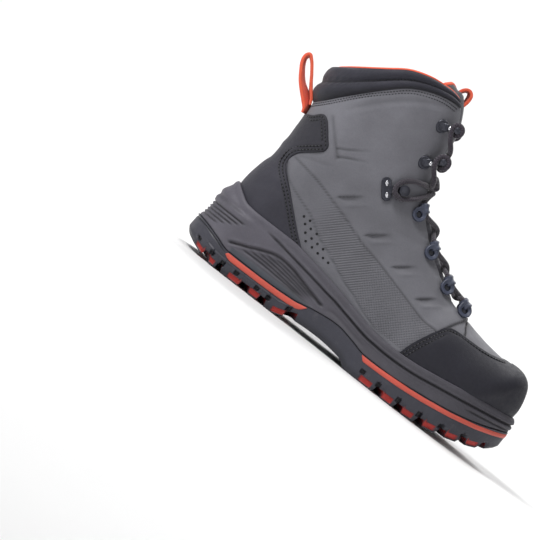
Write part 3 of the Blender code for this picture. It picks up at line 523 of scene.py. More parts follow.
# ---------------------------------------------------------------- finishes
class Shader:
    """A procedural finish on one shader."""

    def __init__(self, name, rough=0.7, metal=0.0, level=0.5, coat=0.0, coat_rough=0.3, sheen=0.0):
        self.m = bpy.data.materials.new(name)
        self.m.use_nodes = True
        self.t = self.m.node_tree
        self.b = self.t.nodes["Principled BSDF"]
        for key, value in (
            ("Roughness", rough), ("Metallic", metal), ("Specular IOR Level", level),
            ("Coat Weight", coat), ("Coat Roughness", coat_rough), ("Sheen Weight", sheen),
        ):
            self.b.inputs[key].default_value = value
        self.b.inputs["Sheen Roughness"].default_value = 0.5
        self.where = self.t.nodes.new("ShaderNodeTexCoord").outputs["Object"]
        self.normal = None

    def node(self, kind, ins=None, **props):
        n = self.t.nodes.new(kind)
        for k, v in props.items():
            setattr(n, k, v)
        for k, v in (ins or {}).items():
            if hasattr(v, "links"):
                self.t.links.new(v, n.inputs[k])
            else:
                n.inputs[k].default_value = v
        return n

    def math(self, op, *args, clamp=False):
        return self.node("ShaderNodeMath", dict(enumerate(args)), operation=op, use_clamp=clamp).outputs[0]

    def noise(self, scale, detail=2.0, rough=0.5, where=None, stretch=None):
        vec = where or self.where
        if stretch:
            vec = self.node("ShaderNodeMapping", {"Vector": vec, "Scale": stretch}).outputs[0]
        return self.node("ShaderNodeTexNoise", {"Vector": vec, "Scale": scale, "Detail": detail, "Roughness": rough}).outputs[0]

    def cells(self, scale, feature="F1", stretch=None, where=None):
        vec = where or self.where
        if stretch:
            vec = self.node("ShaderNodeMapping", {"Vector": vec, "Scale": stretch}).outputs[0]
        return self.node("ShaderNodeTexVoronoi", {"Vector": vec, "Scale": scale}, feature=feature).outputs[0]

    def attr(self, name, vector=False):
        return self.node("ShaderNodeAttribute", attribute_name=name).outputs["Vector" if vector else "Fac"]

    def span(self, value, a, b, c=0.0, d=1.0):
        return self.node("ShaderNodeMapRange", {0: value, 1: a, 2: b, 3: c, 4: d}).outputs[0]

    def mix(self, share, a, b):
        n = self.node("ShaderNodeMix", data_type="RGBA")
        for k, v in ((0, share), (6, a), (7, b)):
            if hasattr(v, "links"):
                self.t.links.new(v, n.inputs[k])
            else:
                n.inputs[k].default_value = v if k == 0 else (*v, 1)
        return n.outputs[2]

    def times(self, colour, value):
        """A colour made darker or lighter by a value."""
        n = self.node("ShaderNodeVectorMath", operation="SCALE")
        self.t.links.new(colour, n.inputs[0])
        self.t.links.new(value, n.inputs[3])
        return n.outputs[0]

    def bump(self, height, distance, strength=1.0):
        n = self.node("ShaderNodeBump", {"Height": height, "Distance": distance, "Strength": strength})
        if self.normal:
            self.t.links.new(self.normal, n.inputs["Normal"])
        self.normal = n.outputs[0]

    def done(self, colour=None, rough=None):
        if colour is not None:
            self.t.links.new(colour, self.b.inputs["Base Color"])
        if rough is not None:
            self.t.links.new(rough, self.b.inputs["Roughness"])
        if self.normal:
            self.t.links.new(self.normal, self.b.inputs["Normal"])
        return self.m


def shades(c, k):
    return tuple(v * k for v in c)


GREY, DARK, CAP = (0.142, 0.141, 0.160), (0.031, 0.030, 0.041), (0.0138, 0.0134, 0.0208)
FOAM, RUBBER, BLUE_RUBBER = (0.090, 0.085, 0.104), (0.041, 0.041, 0.054), (0.056, 0.061, 0.075)
ORANGE, STRIPE, RED = (0.80, 0.115, 0.055), (0.56, 0.090, 0.062), (0.40, 0.026, 0.020)
NAVY, LACE, STEEL = (0.040, 0.047, 0.078), (0.031, 0.025, 0.037), (0.62, 0.62, 0.65)


def make_synthetic(name, base, grain=1500, band=False, rough=0.62, fine=0.00010, nap=0.12):
    s = Shader(name, rough, level=0.32, sheen=nap)
    cloud = s.noise(38, 3, 0.55)
    fleck = s.noise(grain * 0.6, 2, 0.6)
    c = s.mix(s.span(cloud, 0.32, 0.68), shades(base, 0.91), shades(base, 1.09))
    c = s.times(c, s.span(fleck, 0.25, 0.75, 0.93, 1.07))
    scuff = s.span(s.noise(210, 4, 0.65, stretch=(1.0, 1.0, 3.2)), 0.66, 0.78, 0.0, 1.0)
    c = s.mix(s.math("MULTIPLY", scuff, 0.10), c, shades(base, 1.55))
    s.bump(s.noise(70, 2, 0.5), 0.0009, 0.30)
    pores = s.cells(grain, "SMOOTH_F1")
    s.bump(s.math("ADD", pores, s.noise(grain * 1.7, 2, 0.6)), fine, 0.75)
    if band:
        flat = s.attr("flat", True)
        xyz = s.node("ShaderNodeSeparateXYZ", {0: flat})
        x, z = s.math("MULTIPLY", xyz.outputs[0], 100.0), s.math("MULTIPLY", xyz.outputs[1], 100.0)
        q = s.math("ADD", s.math("MULTIPLY", x, -0.687), s.math("MULTIPLY", z, 0.727))
        p = s.math("ADD", s.math("MULTIPLY", x, 0.727), s.math("MULTIPLY", z, 0.687))
        ribs = s.math("SINE", s.math("MULTIPLY", q, 2 * math.pi / 2.45))
        other = s.math("SINE", s.math("MULTIPLY", p, 2 * math.pi / 2.45))
        weave = s.math("MULTIPLY", s.math("ADD", other, ribs), 0.62)
        share = s.span(x, 134, 152)
        both = s.math("ADD", s.math("MULTIPLY", ribs, s.math("SUBTRACT", 1.0, share)), s.math("MULTIPLY", weave, share))
        mask = s.attr("band")
        c = s.times(c, s.math("SUBTRACT", 1.0, s.math("MULTIPLY", mask, s.span(both, -1.0, 0.9, 0.25, 0.05))))
        s.bump(s.math("MULTIPLY", both, mask), 0.00024, 0.8)
    # painted shade: colour darkened by the sheet's shade attribute
    c = s.times(c, s.math("SUBTRACT", 1.0, s.math("MULTIPLY", s.attr("dark"), 0.72)))
    return s.done(c, s.span(s.noise(300, 3), 0.3, 0.7, rough - 0.06, rough + 0.07))


def make_rubber(name, base, rough=0.55, speck=900, dust=0.12, masks=()):
    """masks: pairs of an attribute and the colour that it brings in."""
    s = Shader(name, rough, level=0.4)
    c = s.mix(s.span(s.noise(45, 3, 0.6), 0.3, 0.7), shades(base, 0.92), shades(base, 1.08))
    for attribute, colour in masks:
        c = s.mix(s.attr(attribute), c, colour)
    c = s.times(c, s.span(s.noise(speck, 2, 0.6), 0.25, 0.75, 0.94, 1.06))
    dusty = s.span(s.noise(120, 5, 0.7), 0.56, 0.78)
    c = s.mix(s.math("MULTIPLY", dusty, dust), c, (0.20, 0.19, 0.19))
    s.bump(s.noise(55, 2), 0.0008, 0.22)
    s.bump(s.noise(speck * 1.8, 3, 0.65), 0.00010, 0.7)
    # painted shade: colour darkened by the sheet's shade attribute
    c = s.times(c, s.math("SUBTRACT", 1.0, s.math("MULTIPLY", s.attr("dark"), 0.75)))
    return s.done(c, s.span(s.noise(260, 3), 0.3, 0.7, rough - 0.08, rough + 0.08))


def make_cloth(name, base, thread=1500, rough=0.85, nap=0.25, depth=0.00016, tint=1.25, inner=None):
    """Knitted or woven cloth: threads both ways, with a soft nap."""
    s = Shader(name, rough, level=0.25, sheen=nap)
    wavy = s.node("ShaderNodeVectorMath", {0: s.where, 1: (0, 0, 0)}, operation="ADD").outputs[0]
    xyz = s.node("ShaderNodeSeparateXYZ", {0: wavy})
    a = s.math("SINE", s.math("MULTIPLY", s.math("ADD", xyz.outputs[0], s.math("MULTIPLY", xyz.outputs[1], 0.7)), float(thread) * 2.2))
    b = s.math("SINE", s.math("MULTIPLY", s.math("ADD", xyz.outputs[2], s.math("MULTIPLY", xyz.outputs[1], -0.7)), float(thread) * 2.2))
    knit = s.math("MULTIPLY", s.math("ADD", a, b), 0.5)
    c = s.mix(s.span(s.noise(60, 4, 0.6), 0.3, 0.7), shades(base, 0.88), shades(base, 1.12))
    if inner is not None:
        c = s.mix(s.attr("inner"), c, inner)
    c = s.times(c, s.span(knit, -1.0, 1.0, 2.0 - tint, tint))
    # painted shade: colour darkened by the sheet's shade attribute
    c = s.times(c, s.math("SUBTRACT", 1.0, s.math("MULTIPLY", s.attr("dark"), 0.7)))
    s.bump(s.noise(80, 2), 0.0010, 0.3)
    s.bump(s.math("ADD", knit, s.noise(2600, 2, 0.7)), depth, 0.7)
    return s.done(c, s.span(s.noise(500, 2), 0.3, 0.7, rough - 0.05, min(1.0, rough + 0.08)))


def make_webbing(name, base, ribs=2600, axis=1, rough=0.7):
    """Woven tape: ribs along it and fine picks across."""
    s = Shader(name, rough, level=0.3, sheen=0.2)
    xyz = s.node("ShaderNodeSeparateXYZ", {0: s.where})
    r = s.math("SINE", s.math("MULTIPLY", xyz.outputs[axis], float(ribs) * 1.6))
    run = s.math("SINE", s.math("MULTIPLY", s.attr("run"), 2 * math.pi / 1.1))
    c = s.mix(s.span(s.math("MULTIPLY", r, run), -1.0, 1.0), shades(base, 0.80), shades(base, 1.12))
    c = s.times(c, s.span(s.noise(90, 3), 0.3, 0.7, 0.90, 1.08))
    s.bump(s.math("ADD", r, run), 0.00016, 0.8)
    return s.done(c)


def make_braid(name, base):
    """Round braid: two families of strands wound opposite ways."""
    s = Shader(name, 0.72, level=0.3, sheen=0.25)
    run, turn = s.attr("run"), s.attr("turn")
    k = 2 * math.pi
    a = s.math("SINE", s.math("ADD", s.math("MULTIPLY", run, k / 2.6), s.math("MULTIPLY", turn, k * 3)))
    b = s.math("SINE", s.math("SUBTRACT", s.math("MULTIPLY", run, k / 2.6), s.math("MULTIPLY", turn, k * 3)))
    over = s.math("MAXIMUM", a, b)
    fleck = s.span(s.math("MULTIPLY", a, b), 0.35, 0.9)
    c = s.mix(s.span(over, -0.4, 1.0), shades(base, 0.45), shades(base, 1.18))
    c = s.mix(s.math("MULTIPLY", fleck, 0.25), c, (0.13, 0.085, 0.11))
    s.bump(over, 0.00030, 0.9)
    s.bump(s.noise(3500, 2, 0.7), 0.00006, 0.6)
    return s.done(c)


def make_moulded(name, base, rough=0.42, metal=0.0, coat=0.15, wear=0.2):
    s = Shader(name, rough, metal=metal, level=0.5, coat=coat, coat_rough=0.35)
    c = s.mix(s.span(s.noise(160, 3), 0.3, 0.7), shades(base, 0.86), shades(base, 1.14))
    mark = s.span(s.noise(700, 5, 0.75), 0.60, 0.80)
    c = s.mix(s.math("MULTIPLY", mark, wear), c, shades(base, 2.4))
    s.bump(s.noise(1400, 3, 0.6), 0.00005, 0.6)
    return s.done(c, s.span(s.noise(420, 4), 0.3, 0.7, rough - 0.10, rough + 0.12))




# ---------------------------------------------------------------- camera, lights and floor
ROLL, RISE, TURN, AWAY = 37.7, 2.6, -1.6, 2.0


def unit(v):
    v = np.asarray(v, float)
    return v / np.linalg.norm(v)


def place_camera():
    """The photograph's view: nearly square on to the lateral side, and rolled."""
    a, e, t = math.radians(TURN), math.radians(RISE), math.radians(ROLL)
    forward = np.array([math.sin(a) * math.cos(e), math.cos(a) * math.cos(e), -math.sin(e)])
    level = unit(np.cross(forward, [0, 0, 1.0]))
    upright = np.cross(level, forward)
    right = math.cos(t) * level + math.sin(t) * upright
    up = math.cos(t) * upright - math.sin(t) * level
    target = metres([61.5, -46.0, 34.9])
    eye = target - forward * AWAY
    cam = bpy.data.objects.new("camera", bpy.data.cameras.new("camera"))
    m = np.eye(4)
    m[:3, 0], m[:3, 1], m[:3, 2], m[:3, 3] = right, up, -forward, eye
    from mathutils import Matrix

    cam.matrix_world = Matrix(m.tolist())
    cam.data.sensor_width = 36.0
    cam.data.lens = 36.0 * AWAY / (540 * UNIT)
    cam.data.clip_end = 60
    bpy.context.scene.collection.objects.link(cam)
    bpy.context.scene.camera = cam


def area_light(name, place, aim, size, power, colour=(1, 1, 1)):
    data = bpy.data.lights.new(name, "AREA")
    data.shape, data.size, data.energy, data.color = "DISK", size, power, colour
    ob = bpy.data.objects.new(name, data)
    from mathutils import Vector

    ob.location = place
    ob.rotation_euler = (Vector(aim) - Vector(place)).to_track_quat("-Z", "Y").to_euler()
    bpy.context.scene.collection.objects.link(ob)


def stage_floor():
    """A pale floor that curves up into a backdrop."""
    n, r = 24, 1.2
    xs = [-4.5, 4.5]
    profile = [(-3.2, 0.0), (1.6, 0.0)]
    profile += [(1.6 + r * math.sin(a), r * (1 - math.cos(a))) for a in np.linspace(0, math.pi / 2, n)[1:]]
    profile += [(1.6 + r, 3.6)]
    v = [(x, y, z) for y, z in profile for x in xs]
    f = [(2 * i, 2 * i + 1, 2 * i + 3, 2 * i + 2) for i in range(len(profile) - 1)]
    me = bpy.data.meshes.new("floor")
    me.from_pydata(v, [], f)
    me.shade_smooth()
    ob = bpy.data.objects.new("floor", me)
    bpy.context.scene.collection.objects.link(ob)
    s = Shader("floor_paint", 0.6, level=0.2)
    c = s.mix(s.span(s.noise(3, 3), 0.3, 0.7), (0.86, 0.86, 0.86), (0.90, 0.90, 0.90))
    s.bump(s.noise(260, 3), 0.0002, 0.3)
    me.materials.append(s.done(c))


def light_room():
    scene = bpy.context.scene
    world = bpy.data.worlds.new("room")
    scene.world = world
    world.use_nodes = True
    world.node_tree.nodes["Background"].inputs[0].default_value = (1, 1, 1, 1)
    world.node_tree.nodes["Background"].inputs[1].default_value = 0.33
    scene.view_settings.view_transform = "Standard"
    scene.view_settings.look = "None"
    area_light("key", (-1.05, -0.75, 1.5), (0, 0, 0.12), 0.7, 30)
    area_light("front", (0.9, -1.4, 0.9), (0, 0, 0.1), 1.2, 4)
    area_light("back", (0.2, 1.3, 1.3), (0, 0, 0.1), 1.0, 3.2)
    area_light("backdrop", (0.0, 1.5, 3.2), (0, 3.0, 0.6), 1.2, 60)


place_camera()
stage_floor()
light_room()


# ---------------------------------------------------------------- upper
ROWS, BACK_COLS, SHAFT_COLS, THROAT_COLS, TOE_COLS = 150, 44, 62, 132, 80
ACROSS, DOWN = np.array([0.79122, 0.61153]), np.array([0.61153, -0.79122])

LINE_D = [(9, 140.5), (12, 139.5), (30, 137), (50, 133), (70, 127.5), (90, 122), (120, 112), (140, 108), (180, 97.5), (200, 92), (215, 88.5), (229, 87.5)]
LINE_E = [(10, 124.5), (20, 118), (40, 110), (60, 103), (80, 91), (100, 83), (120, 74), (130, 70), (140, 67), (150, 63), (160, 59), (170, 56), (182, 52)]
QUARTER = [(213.2, 45), (214.2, 49.5), (218, 60), (222, 70), (227, 80), (232, 90), (235.5, 96), (239, 102), (243.5, 108.5), (248, 113.5), (251.5, 118)]
GILLS = [((68.9, 133.4), 28, 8.5), ((114.0, 120.1), 27, 7.6), ((154.4, 111.2), 26, 8.0), ((192.8, 100.6), 24, 8.0)]
HOLES = [
    (55.5, 98), (63, 98.3), (61, 92.7), (68.5, 92.3), (76.3, 92), (66.5, 86), (75, 85.2), (83, 84.5), (90.7, 83.8),
    (72, 79.5), (80.7, 78.5), (89, 77.3), (96, 76.8), (103, 76.2),
]
SEAM_LINE = [(-9, 195), (0, 203), (10, 213), (20, 224), (30, 234.5), (40, 244), (50, 253), (60, 262), (70, 268.5), (80, 273), (90, 276.8), (100, 279), (112, 279.5)]


def upper_relief(x, z):
    r = Relief(x, z)
    # textured band and its edges, with painted shade in the edge grooves
    top = np.interp(x, *zip(*LINE_D))
    low = np.interp(x, *zip(*LINE_E))
    inside = step(-0.5, 1.4, top - z) * step(-0.5, 1.4, z - low) * step(9, 14, x)
    r.h -= 0.40 * inside
    r.groove(LINE_D, 0.5, 0.9, (4, 0), 0.55, lip=0.2)
    r.groove(LINE_E, 0.45, 0.9, (4, 6), 0.52, lip=0.18)
    ahead, _, _ = along(QUARTER, x, z, 22)
    band = inside * step(52, 96, x) * step(0.5, 2.0, ahead)
    # moulded lines of the shaft, with painted shade in their grooves
    r.groove([(14, 198), (22, 189.5), (34, 177), (46, 165), (49, 161)], 0.95, 1.5, (7, 6), 0.50, lip=0.28)
    r.groove([(39, 171), (50, 177), (62, 185), (74, 193)], 0.75, 1.1, (2, 26), 0.42, lip=0.22)
    r.groove([(45, 164.5), (56, 171), (66, 176), (78, 182.5)], 0.85, 1.2, (2, 26), 0.46, lip=0.25)
    r.groove([(20, 204), (34, 220), (48, 235), (62, 247.5), (78, 259), (95, 268), (108, 272)], 0.55, 2.6, (16, 22), 0.16, lip=0.22)
    r.groove([(12, 141), (24, 147), (40, 152), (58, 160)], 0.40, 1.8, (4, 22), 0.14)
    # gill-like cuts: a sharp upper edge over a dent that fades out, with painted shade under the edge and in the dent
    for tip, length, tall in GILLS:
        s = (x - tip[0]) * ACROSS[0] + (z - tip[1]) * ACROSS[1]
        q = (x - tip[0]) * DOWN[0] + (z - tip[1]) * DOWN[1]
        lean = s - 0.85 * np.clip(q, 0, tall)
        fade = step(-1.5, 6.5, lean) * (1 - step(0.42 * length, 1.15 * length, lean))
        r.h -= 1.9 * fade * step(-0.45, 0.55, q) * (1 - step(0.15 * tall, 1.02 * tall, q))
        r.h += 0.32 * fade * np.exp(-(((q + 2.0) / 1.5) ** 2)) + 0.62 * fade * np.exp(-(((q - 1.08 * tall) / 1.2) ** 2))
        lens = step(-1.5, 3, s) * (1 - step(0.55 * length, 1.1 * length, s))
        r.dark += 0.66 * lens * np.exp(-(((q - 0.35) / 0.72) ** 2)) + 0.12 * fade * step(0, 1, q) * (1 - step(0.3 * tall, tall, q))
    # quarter laid over vamp and toe cap, with a painted shadow along its edge and painted shade in the vamp seam
    edge = step(-0.45, 0.55, ahead)
    r.h += np.where(np.abs(ahead) < 90, 2.0 * edge * (1 - step(2.5, 20, ahead)), 0)
    r.dark += np.where(ahead < 0.6, 0.85 * np.exp(-(((ahead + 0.5) / 0.9) ** 2)), 0)
    r.groove([(250.5, 114.5), (252.5, 109), (255.5, 104), (257, 99.5)], 0.9, 1.15, (0, 1), 1.0)
    # soft folds where the boot bends, and short pulls from the lacing
    for line, height, width, ends in (
        ([(150, 182), (132, 176), (112, 166), (92, 157), (72, 151)], -0.9, 7.0, (14, 30)),
        ([(146, 196), (128, 192), (108, 186), (88, 180)], 0.7, 7.0, (10, 30)),
        ([(176, 152), (160, 146), (142, 142), (124, 140)], -0.6, 5.0, (10, 22)),
        ([(172, 159), (166, 156), (159, 153.5)], -0.55, 1.5, (1, 5)),
        ([(170, 162), (164, 159.5), (158, 157)], 0.35, 1.6, (1, 5)),
        ([(203, 136), (198, 133.2), (193, 131)], -0.50, 1.5, (1, 4)),
        ([(230, 118), (223, 113), (214, 108)], -0.45, 2.6, (2, 10)),
        ([(268, 109), (266, 104), (262, 100)], 0.35, 4.0, (3, 3)),
        ([(284, 108), (280, 105), (276, 102)], -0.35, 3.6, (3, 3)),
        ([(92, 262), (76, 252), (62, 240)], 0.5, 9.0, (14, 20)),
        ([(2, 168), (18, 160), (36, 158)], -0.5, 6.0, (8, 14)),
        ([(110, 150), (126, 156), (144, 160)], 0.6, 8.0, (14, 16)),
    ):
        r.fold(line, height, width, ends)
    # painted shade in the grooves of the collar seam's stitch rows
    for drop in (3.1, 6.3):
        r.groove([(a, b - drop) for a, b in SEAM_LINE], 0.22, 0.7, (0, 0), 0.10)
    # painted shade: the lower part of the upper darker
    r.dark += 0.19 * (1 - step(130, 205, z))
    r.h += 0.22 * np.sin(x / 13.0 + np.sin(z / 17.0)) * np.sin(z / 15.0 + 1.3 * np.sin(x / 21.0)) * step(60, 120, z)
    return r.h, np.clip(r.dark, 0, 1), band


def dense_form_grid(rows, back_cols, shaft_cols, throat_cols, toe_cols):
    near_back = 0.125 * (1 - np.cos(np.linspace(0, math.pi / 2, back_cols + 1)))
    near_toe = 1 - (1 - u_throat) * (1 - np.cos(np.linspace(math.pi / 2, 0, toe_cols + 1)))
    us = np.concatenate([
        near_back,
        np.linspace(near_back[-1], u_corner, shaft_cols + 1)[1:],
        np.linspace(u_corner, u_throat, throat_cols + 1)[1:],
        near_toe[1:],
    ])
    vs = np.sin(np.linspace(0, math.pi / 2, rows + 1))
    feather_row, bed_row = across(FEATHER, us), across(BED, us, mm(0.45))
    top_row = np.array([top_edge(u) for u in us])
    back_edge = back_path.at(b_feather + vs * (b_top - b_feather))[:, :2]
    top_row[0], top_row[-1] = back_edge[-1], feather_row[-1]
    main = coons(feather_row, top_row, back_edge, np.repeat(feather_row[-1:], rows + 1, 0), us, vs)
    grid = np.concatenate([bed_row[None], (bed_row + feather_row)[None] / 2, main])
    open_cols = us < u_throat - 1e-6
    pin = np.zeros(grid.shape[:2], bool)
    pin[:, 0] = pin[:, -1] = True
    pin[-1, ~open_cols] = True
    return us, grid, pin, open_cols


def make_upper(finish, lining):
    us, grid, pin, open_cols = dense_form_grid(ROWS, BACK_COLS, SHAFT_COLS, THROAT_COLS, TOE_COLS)
    grid, pin = grid[1:], pin[1:]
    h, dark, band = upper_relief(grid[..., 0], grid[..., 1])
    to_top = np.linalg.norm(grid - grid[-1:], axis=-1)
    lip = np.where(open_cols[None, :], 0.9 * np.clip(1 - to_top / 1.8, 0, 1) ** 2, 0)
    bag = Bag()
    two_sides(bag, grid, h - lip, pin, dark=dark, band=band)
    last = int(np.nonzero(open_cols)[0][-1]) + 2
    levels = np.array([0.0, -0.6, -1.5, -2.4, -mm(1e3 * WALL)])
    rim = np.repeat(grid[-1:, :last], len(levels), 0)
    start = (h - lip)[-1, :last]
    off = start[None] * (1 - np.arange(len(levels)) / (len(levels) - 1))[:, None] + levels[:, None]
    rim_pin = np.zeros(rim.shape[:2], bool)
    rim_pin[:, 0] = True
    rim_pin[:, -1] = True
    # painted shade on the turned-in top rim
    two_sides(bag, rim, off, rim_pin, dark=0.25, band=0.0)
    piece("upper_shell", bag, finish, weld=True, node="upper")

    us, grid, pin, open_cols = dense_form_grid(44, 14, 18, 40, 22)
    bag = Bag()
    two_sides(bag, grid, -mm(1e3 * WALL), pin, inside=True, inner=0.0, dark=0.0)
    piece("upper_lining", bag, lining, weld=True)


def make_holes(finish):
    # each perforation is a near-black dome: painted shade for the hole
    bag = Bag()
    n = 14
    for side in (-1, 1):
        for x, z in HOLES:
            a = np.linspace(0, 2 * math.pi, n, endpoint=False)
            h, _, _ = upper_relief(np.array([x]), np.array([z]))
            rings = [surface(x + r * np.cos(a), z + r * np.sin(a), side, h[0] + o) for r, o in ((1.36, 0.02), (1.24, 0.24), (0.9, 0.34))]
            mid = surface([x], [z], side, h[0] + 0.4)
            v = np.vstack(rings + [mid])
            f = [[k * n + i, k * n + (i + 1) % n, (k + 1) * n + (i + 1) % n, (k + 1) * n + i] for k in range(2) for i in range(n)]
            f += [[2 * n + i, 2 * n + (i + 1) % n, 3 * n] for i in range(n)]
            bag.add(v, f if side == -1 else [q[::-1] for q in f])
    piece("perforations", bag, finish)


# ---------------------------------------------------------------- toe cap and heel counter
CAP_TOP = [(234.5, 96), (238, 98.6), (242, 99.9), (248, 100.6), (260, 101), (275, 101.5), (290, 103), (300, 105), (307, 106.6)]
CAP_REAR = [(211.8, 44.5), (212.8, 49), (216.5, 60), (220.5, 70), (225.5, 80), (230.5, 90), (234.5, 96)]
COUNTER_TOP = [(0, 184), (5, 189), (9, 191), (12.5, 190.3), (16, 188), (22, 181.5), (28, 174), (31.5, 170), (33, 167)]
COUNTER_FRONT = [
    (76, 68), (74, 70.5), (60, 82), (50, 91), (40, 100), (30, 109), (20, 117), (12, 124), (9, 129), (8.5, 135),
    (10, 140.5), (13, 145), (20, 151), (29, 158.3), (32.3, 162), (33, 167),
]


def overlay_height(x, z, edges, thick=1.62):
    """Full height inside, rounded off at the edges that show."""
    best = np.full(x.shape, 99.0)
    for e in edges:
        d, _, _ = along(e, x, z, 8)
        best = np.minimum(best, np.abs(d))
    t = np.clip(best / 1.4, 0, 1)
    return -0.25 + (thick + 0.25) * np.sqrt(1 - (1 - t) ** 2), best


def make_cap(finish):
    cols, rows = 130, 70
    us = np.sin(np.linspace(0, math.pi / 2, cols + 1)) ** 1.0
    vs = np.linspace(0, 1, rows + 1)
    s_low = front_path.share_near(feather_ends[1][0], feather_ends[1][1] - 1.5)
    s_cap = front_path.share_near(312.5, 107)
    right = front_path.at(s_low + (s_cap - s_low) * vs)[:, :2]
    x = CAP_REAR[0][0] + (right[0, 0] - CAP_REAR[0][0]) * us
    bottom = np.stack([x, smooth(FEATHER, x) - 1.5], axis=-1)
    bottom[-1] = right[0]
    left = Path([tuple(bottom[0])] + CAP_REAR[1:]).at(vs)[:, :2]
    top = Path(CAP_TOP + [tuple(right[-1])]).at(us)[:, :2]
    grid = coons(bottom, top, left, right, us, vs)
    x, z = grid[..., 0], grid[..., 1]
    r = Relief(x, z)
    off, edge = overlay_height(x, z, [CAP_TOP + [tuple(right[-1])]])
    for line in CAP_STITCHES:
        r.groove(line, 0.34, 1.5, (0, 0), 0.16)
    r.h += 0.25 * np.sin(x / 11.0 + 0.8) * np.sin(z / 9.0)
    r.fold([(228, 72), (246, 84), (262, 92)], 0.5, 9, (10, 10))
    pin = np.zeros(x.shape, bool)
    pin[:, -1] = True
    # painted shade in the stitch grooves and along the cap's top edge
    dark = np.clip(r.dark + 0.5 * np.exp(-((edge / 0.9) ** 2)), 0, 1)
    bag = Bag()
    two_sides(bag, grid, off + r.h, pin, dark=dark)
    piece("toe_cap_shell", bag, finish, weld=True, node="toe_cap")


def make_counter(finish):
    cols, rows = 96, 120
    us, vs = 1 - np.cos(np.linspace(0, math.pi / 2, cols + 1)), np.linspace(0, 1, rows + 1)
    b_low, b_high = back_path.share_near(-16, 83), back_path.share_near(-8, 181)
    left = back_path.at(b_low + (b_high - b_low) * vs)[:, :2]
    top_line = [tuple(left[-1])] + COUNTER_TOP
    x = left[0, 0] + (COUNTER_FRONT[0][0] - left[0, 0]) * us
    bottom = np.stack([x, smooth(FEATHER, x) - 1.8], axis=-1)
    bottom[0] = left[0]
    right = Path([tuple(bottom[-1])] + COUNTER_FRONT[1:]).at(vs)[:, :2]
    top = Path(top_line).at(us)[:, :2]
    grid = coons(bottom, top, left, right, us, vs)
    x, z = grid[..., 0], grid[..., 1]
    off, edge = overlay_height(x, z, [top_line, COUNTER_FRONT])
    r = Relief(x, z)
    for line in COUNTER_STITCHES:
        r.groove(line, 0.34, 1.5, (0, 0), 0.16)
    r.fold([(-16, 122), (-4, 128), (8, 138)], -1.1, 6, (8, 8))
    r.fold([(-12, 142), (0, 146), (12, 150)], 0.8, 5, (6, 8))
    r.fold([(-4, 96), (14, 104), (30, 100)], -0.8, 5, (6, 10))
    r.fold([(-14, 104), (4, 108), (22, 104)], 0.7, 9, (8, 10))
    r.fold([(-10, 160), (6, 164), (20, 170)], 0.5, 7, (8, 8))
    r.h += 0.2 * np.sin(x / 12.0) * np.sin(z / 14.0 + 0.5)
    pin = np.zeros(x.shape, bool)
    pin[:, 0] = True
    # painted shade in the stitch grooves, along the edges and over the counter's upper part
    dark = np.clip(r.dark + 0.5 * np.exp(-((edge / 0.9) ** 2)) + 0.36 * step(122, 165, z), 0, 1)
    bag = Bag()
    two_sides(bag, grid, off + r.h, pin, dark=dark)
    piece("heel_counter_shell", bag, finish, weld=True, node="heel_counter")


# ---------------------------------------------------------------- stitches
def beside(line, gap, cut=(0, 0)):
    """A line at a distance to the left of another, with the turns that fold over themselves left out."""
    p = Path(line, 10).p[:, :2]
    t = np.gradient(p, axis=0)
    t /= np.linalg.norm(t, axis=1)[:, None]
    q = p + np.stack([-t[:, 1], t[:, 0]], axis=1) * gap
    d, _, _ = along(line, q[:, 0], q[:, 1], abs(gap) + 4, per=10)
    q = q[np.abs(d) > abs(gap) * 0.93]
    q = q[cut[0] : len(q) - cut[1]]
    return [tuple(a) for a in q[::4]]


CAP_STITCHES = [
    beside(CAP_REAR[1:] + CAP_TOP[1:4], -3.4), beside(CAP_REAR[1:], -7.0), beside(CAP_TOP, -3.0, (14, 0)),
]
COUNTER_STITCHES = [
    beside(COUNTER_FRONT[1:], 2.9, (2, 6)), beside(COUNTER_FRONT[1:], 6.4, (4, 12)),
    beside([(-8, 181)] + COUNTER_TOP, -2.9, (4, 6)), beside([(-8, 181)] + COUNTER_TOP, -6.2, (8, 16)),
]


def stitches(bag, points, normals, pitch=3.8, length=2.2, radius=0.52, lift=0.16, pits=None):
    """Thread every pitch, and a near-black pit where it dives in, painted shade for the stitch hole; pits is the bag
    for those.
    """
    if isinstance(pits, Bag):
        stitches(pits, points, normals, pitch, pitch - length + 0.7, radius * 1.9, -0.26, True)
    at0 = 1.0 if pits is True else 0.5
    p = np.asarray(points, float)
    s = np.concatenate([[0], np.cumsum(np.linalg.norm(np.diff(p, axis=0), axis=1))])
    for k in range(int(s[-1] // pitch)):
        at = (k + at0) * pitch
        c = np.array([np.interp(at, s, p[:, i]) for i in range(3)])
        ahead = np.array([np.interp(at + 0.4, s, p[:, i]) for i in range(3)])
        n = unit(np.array([np.interp(at, s, normals[:, i]) for i in range(3)]))
        t = ahead - c
        if np.linalg.norm(t) < 1e-6:
            continue
        t = unit(t - n * (t @ n))
        b = np.cross(t, n)
        v = []
        for q, r, up in ((-0.5, 0.35, -0.45), (-0.3, 0.95, 0.0), (0.3, 0.95, 0.0), (0.5, 0.35, -0.45)):
            v += [
                c + t * q * length + n * (lift + up * radius + radius * r * math.sin(a) * 0.85) + b * radius * r * math.cos(a)
                for a in np.linspace(0, 2 * math.pi, 6, endpoint=False)
            ]
        f = [[g * 6 + i, g * 6 + (i + 1) % 6, (g + 1) * 6 + (i + 1) % 6, (g + 1) * 6 + i] for g in range(3) for i in range(6)]
        bag.add(v, f + [[5, 4, 3, 2, 1, 0], list(range(18, 24))])


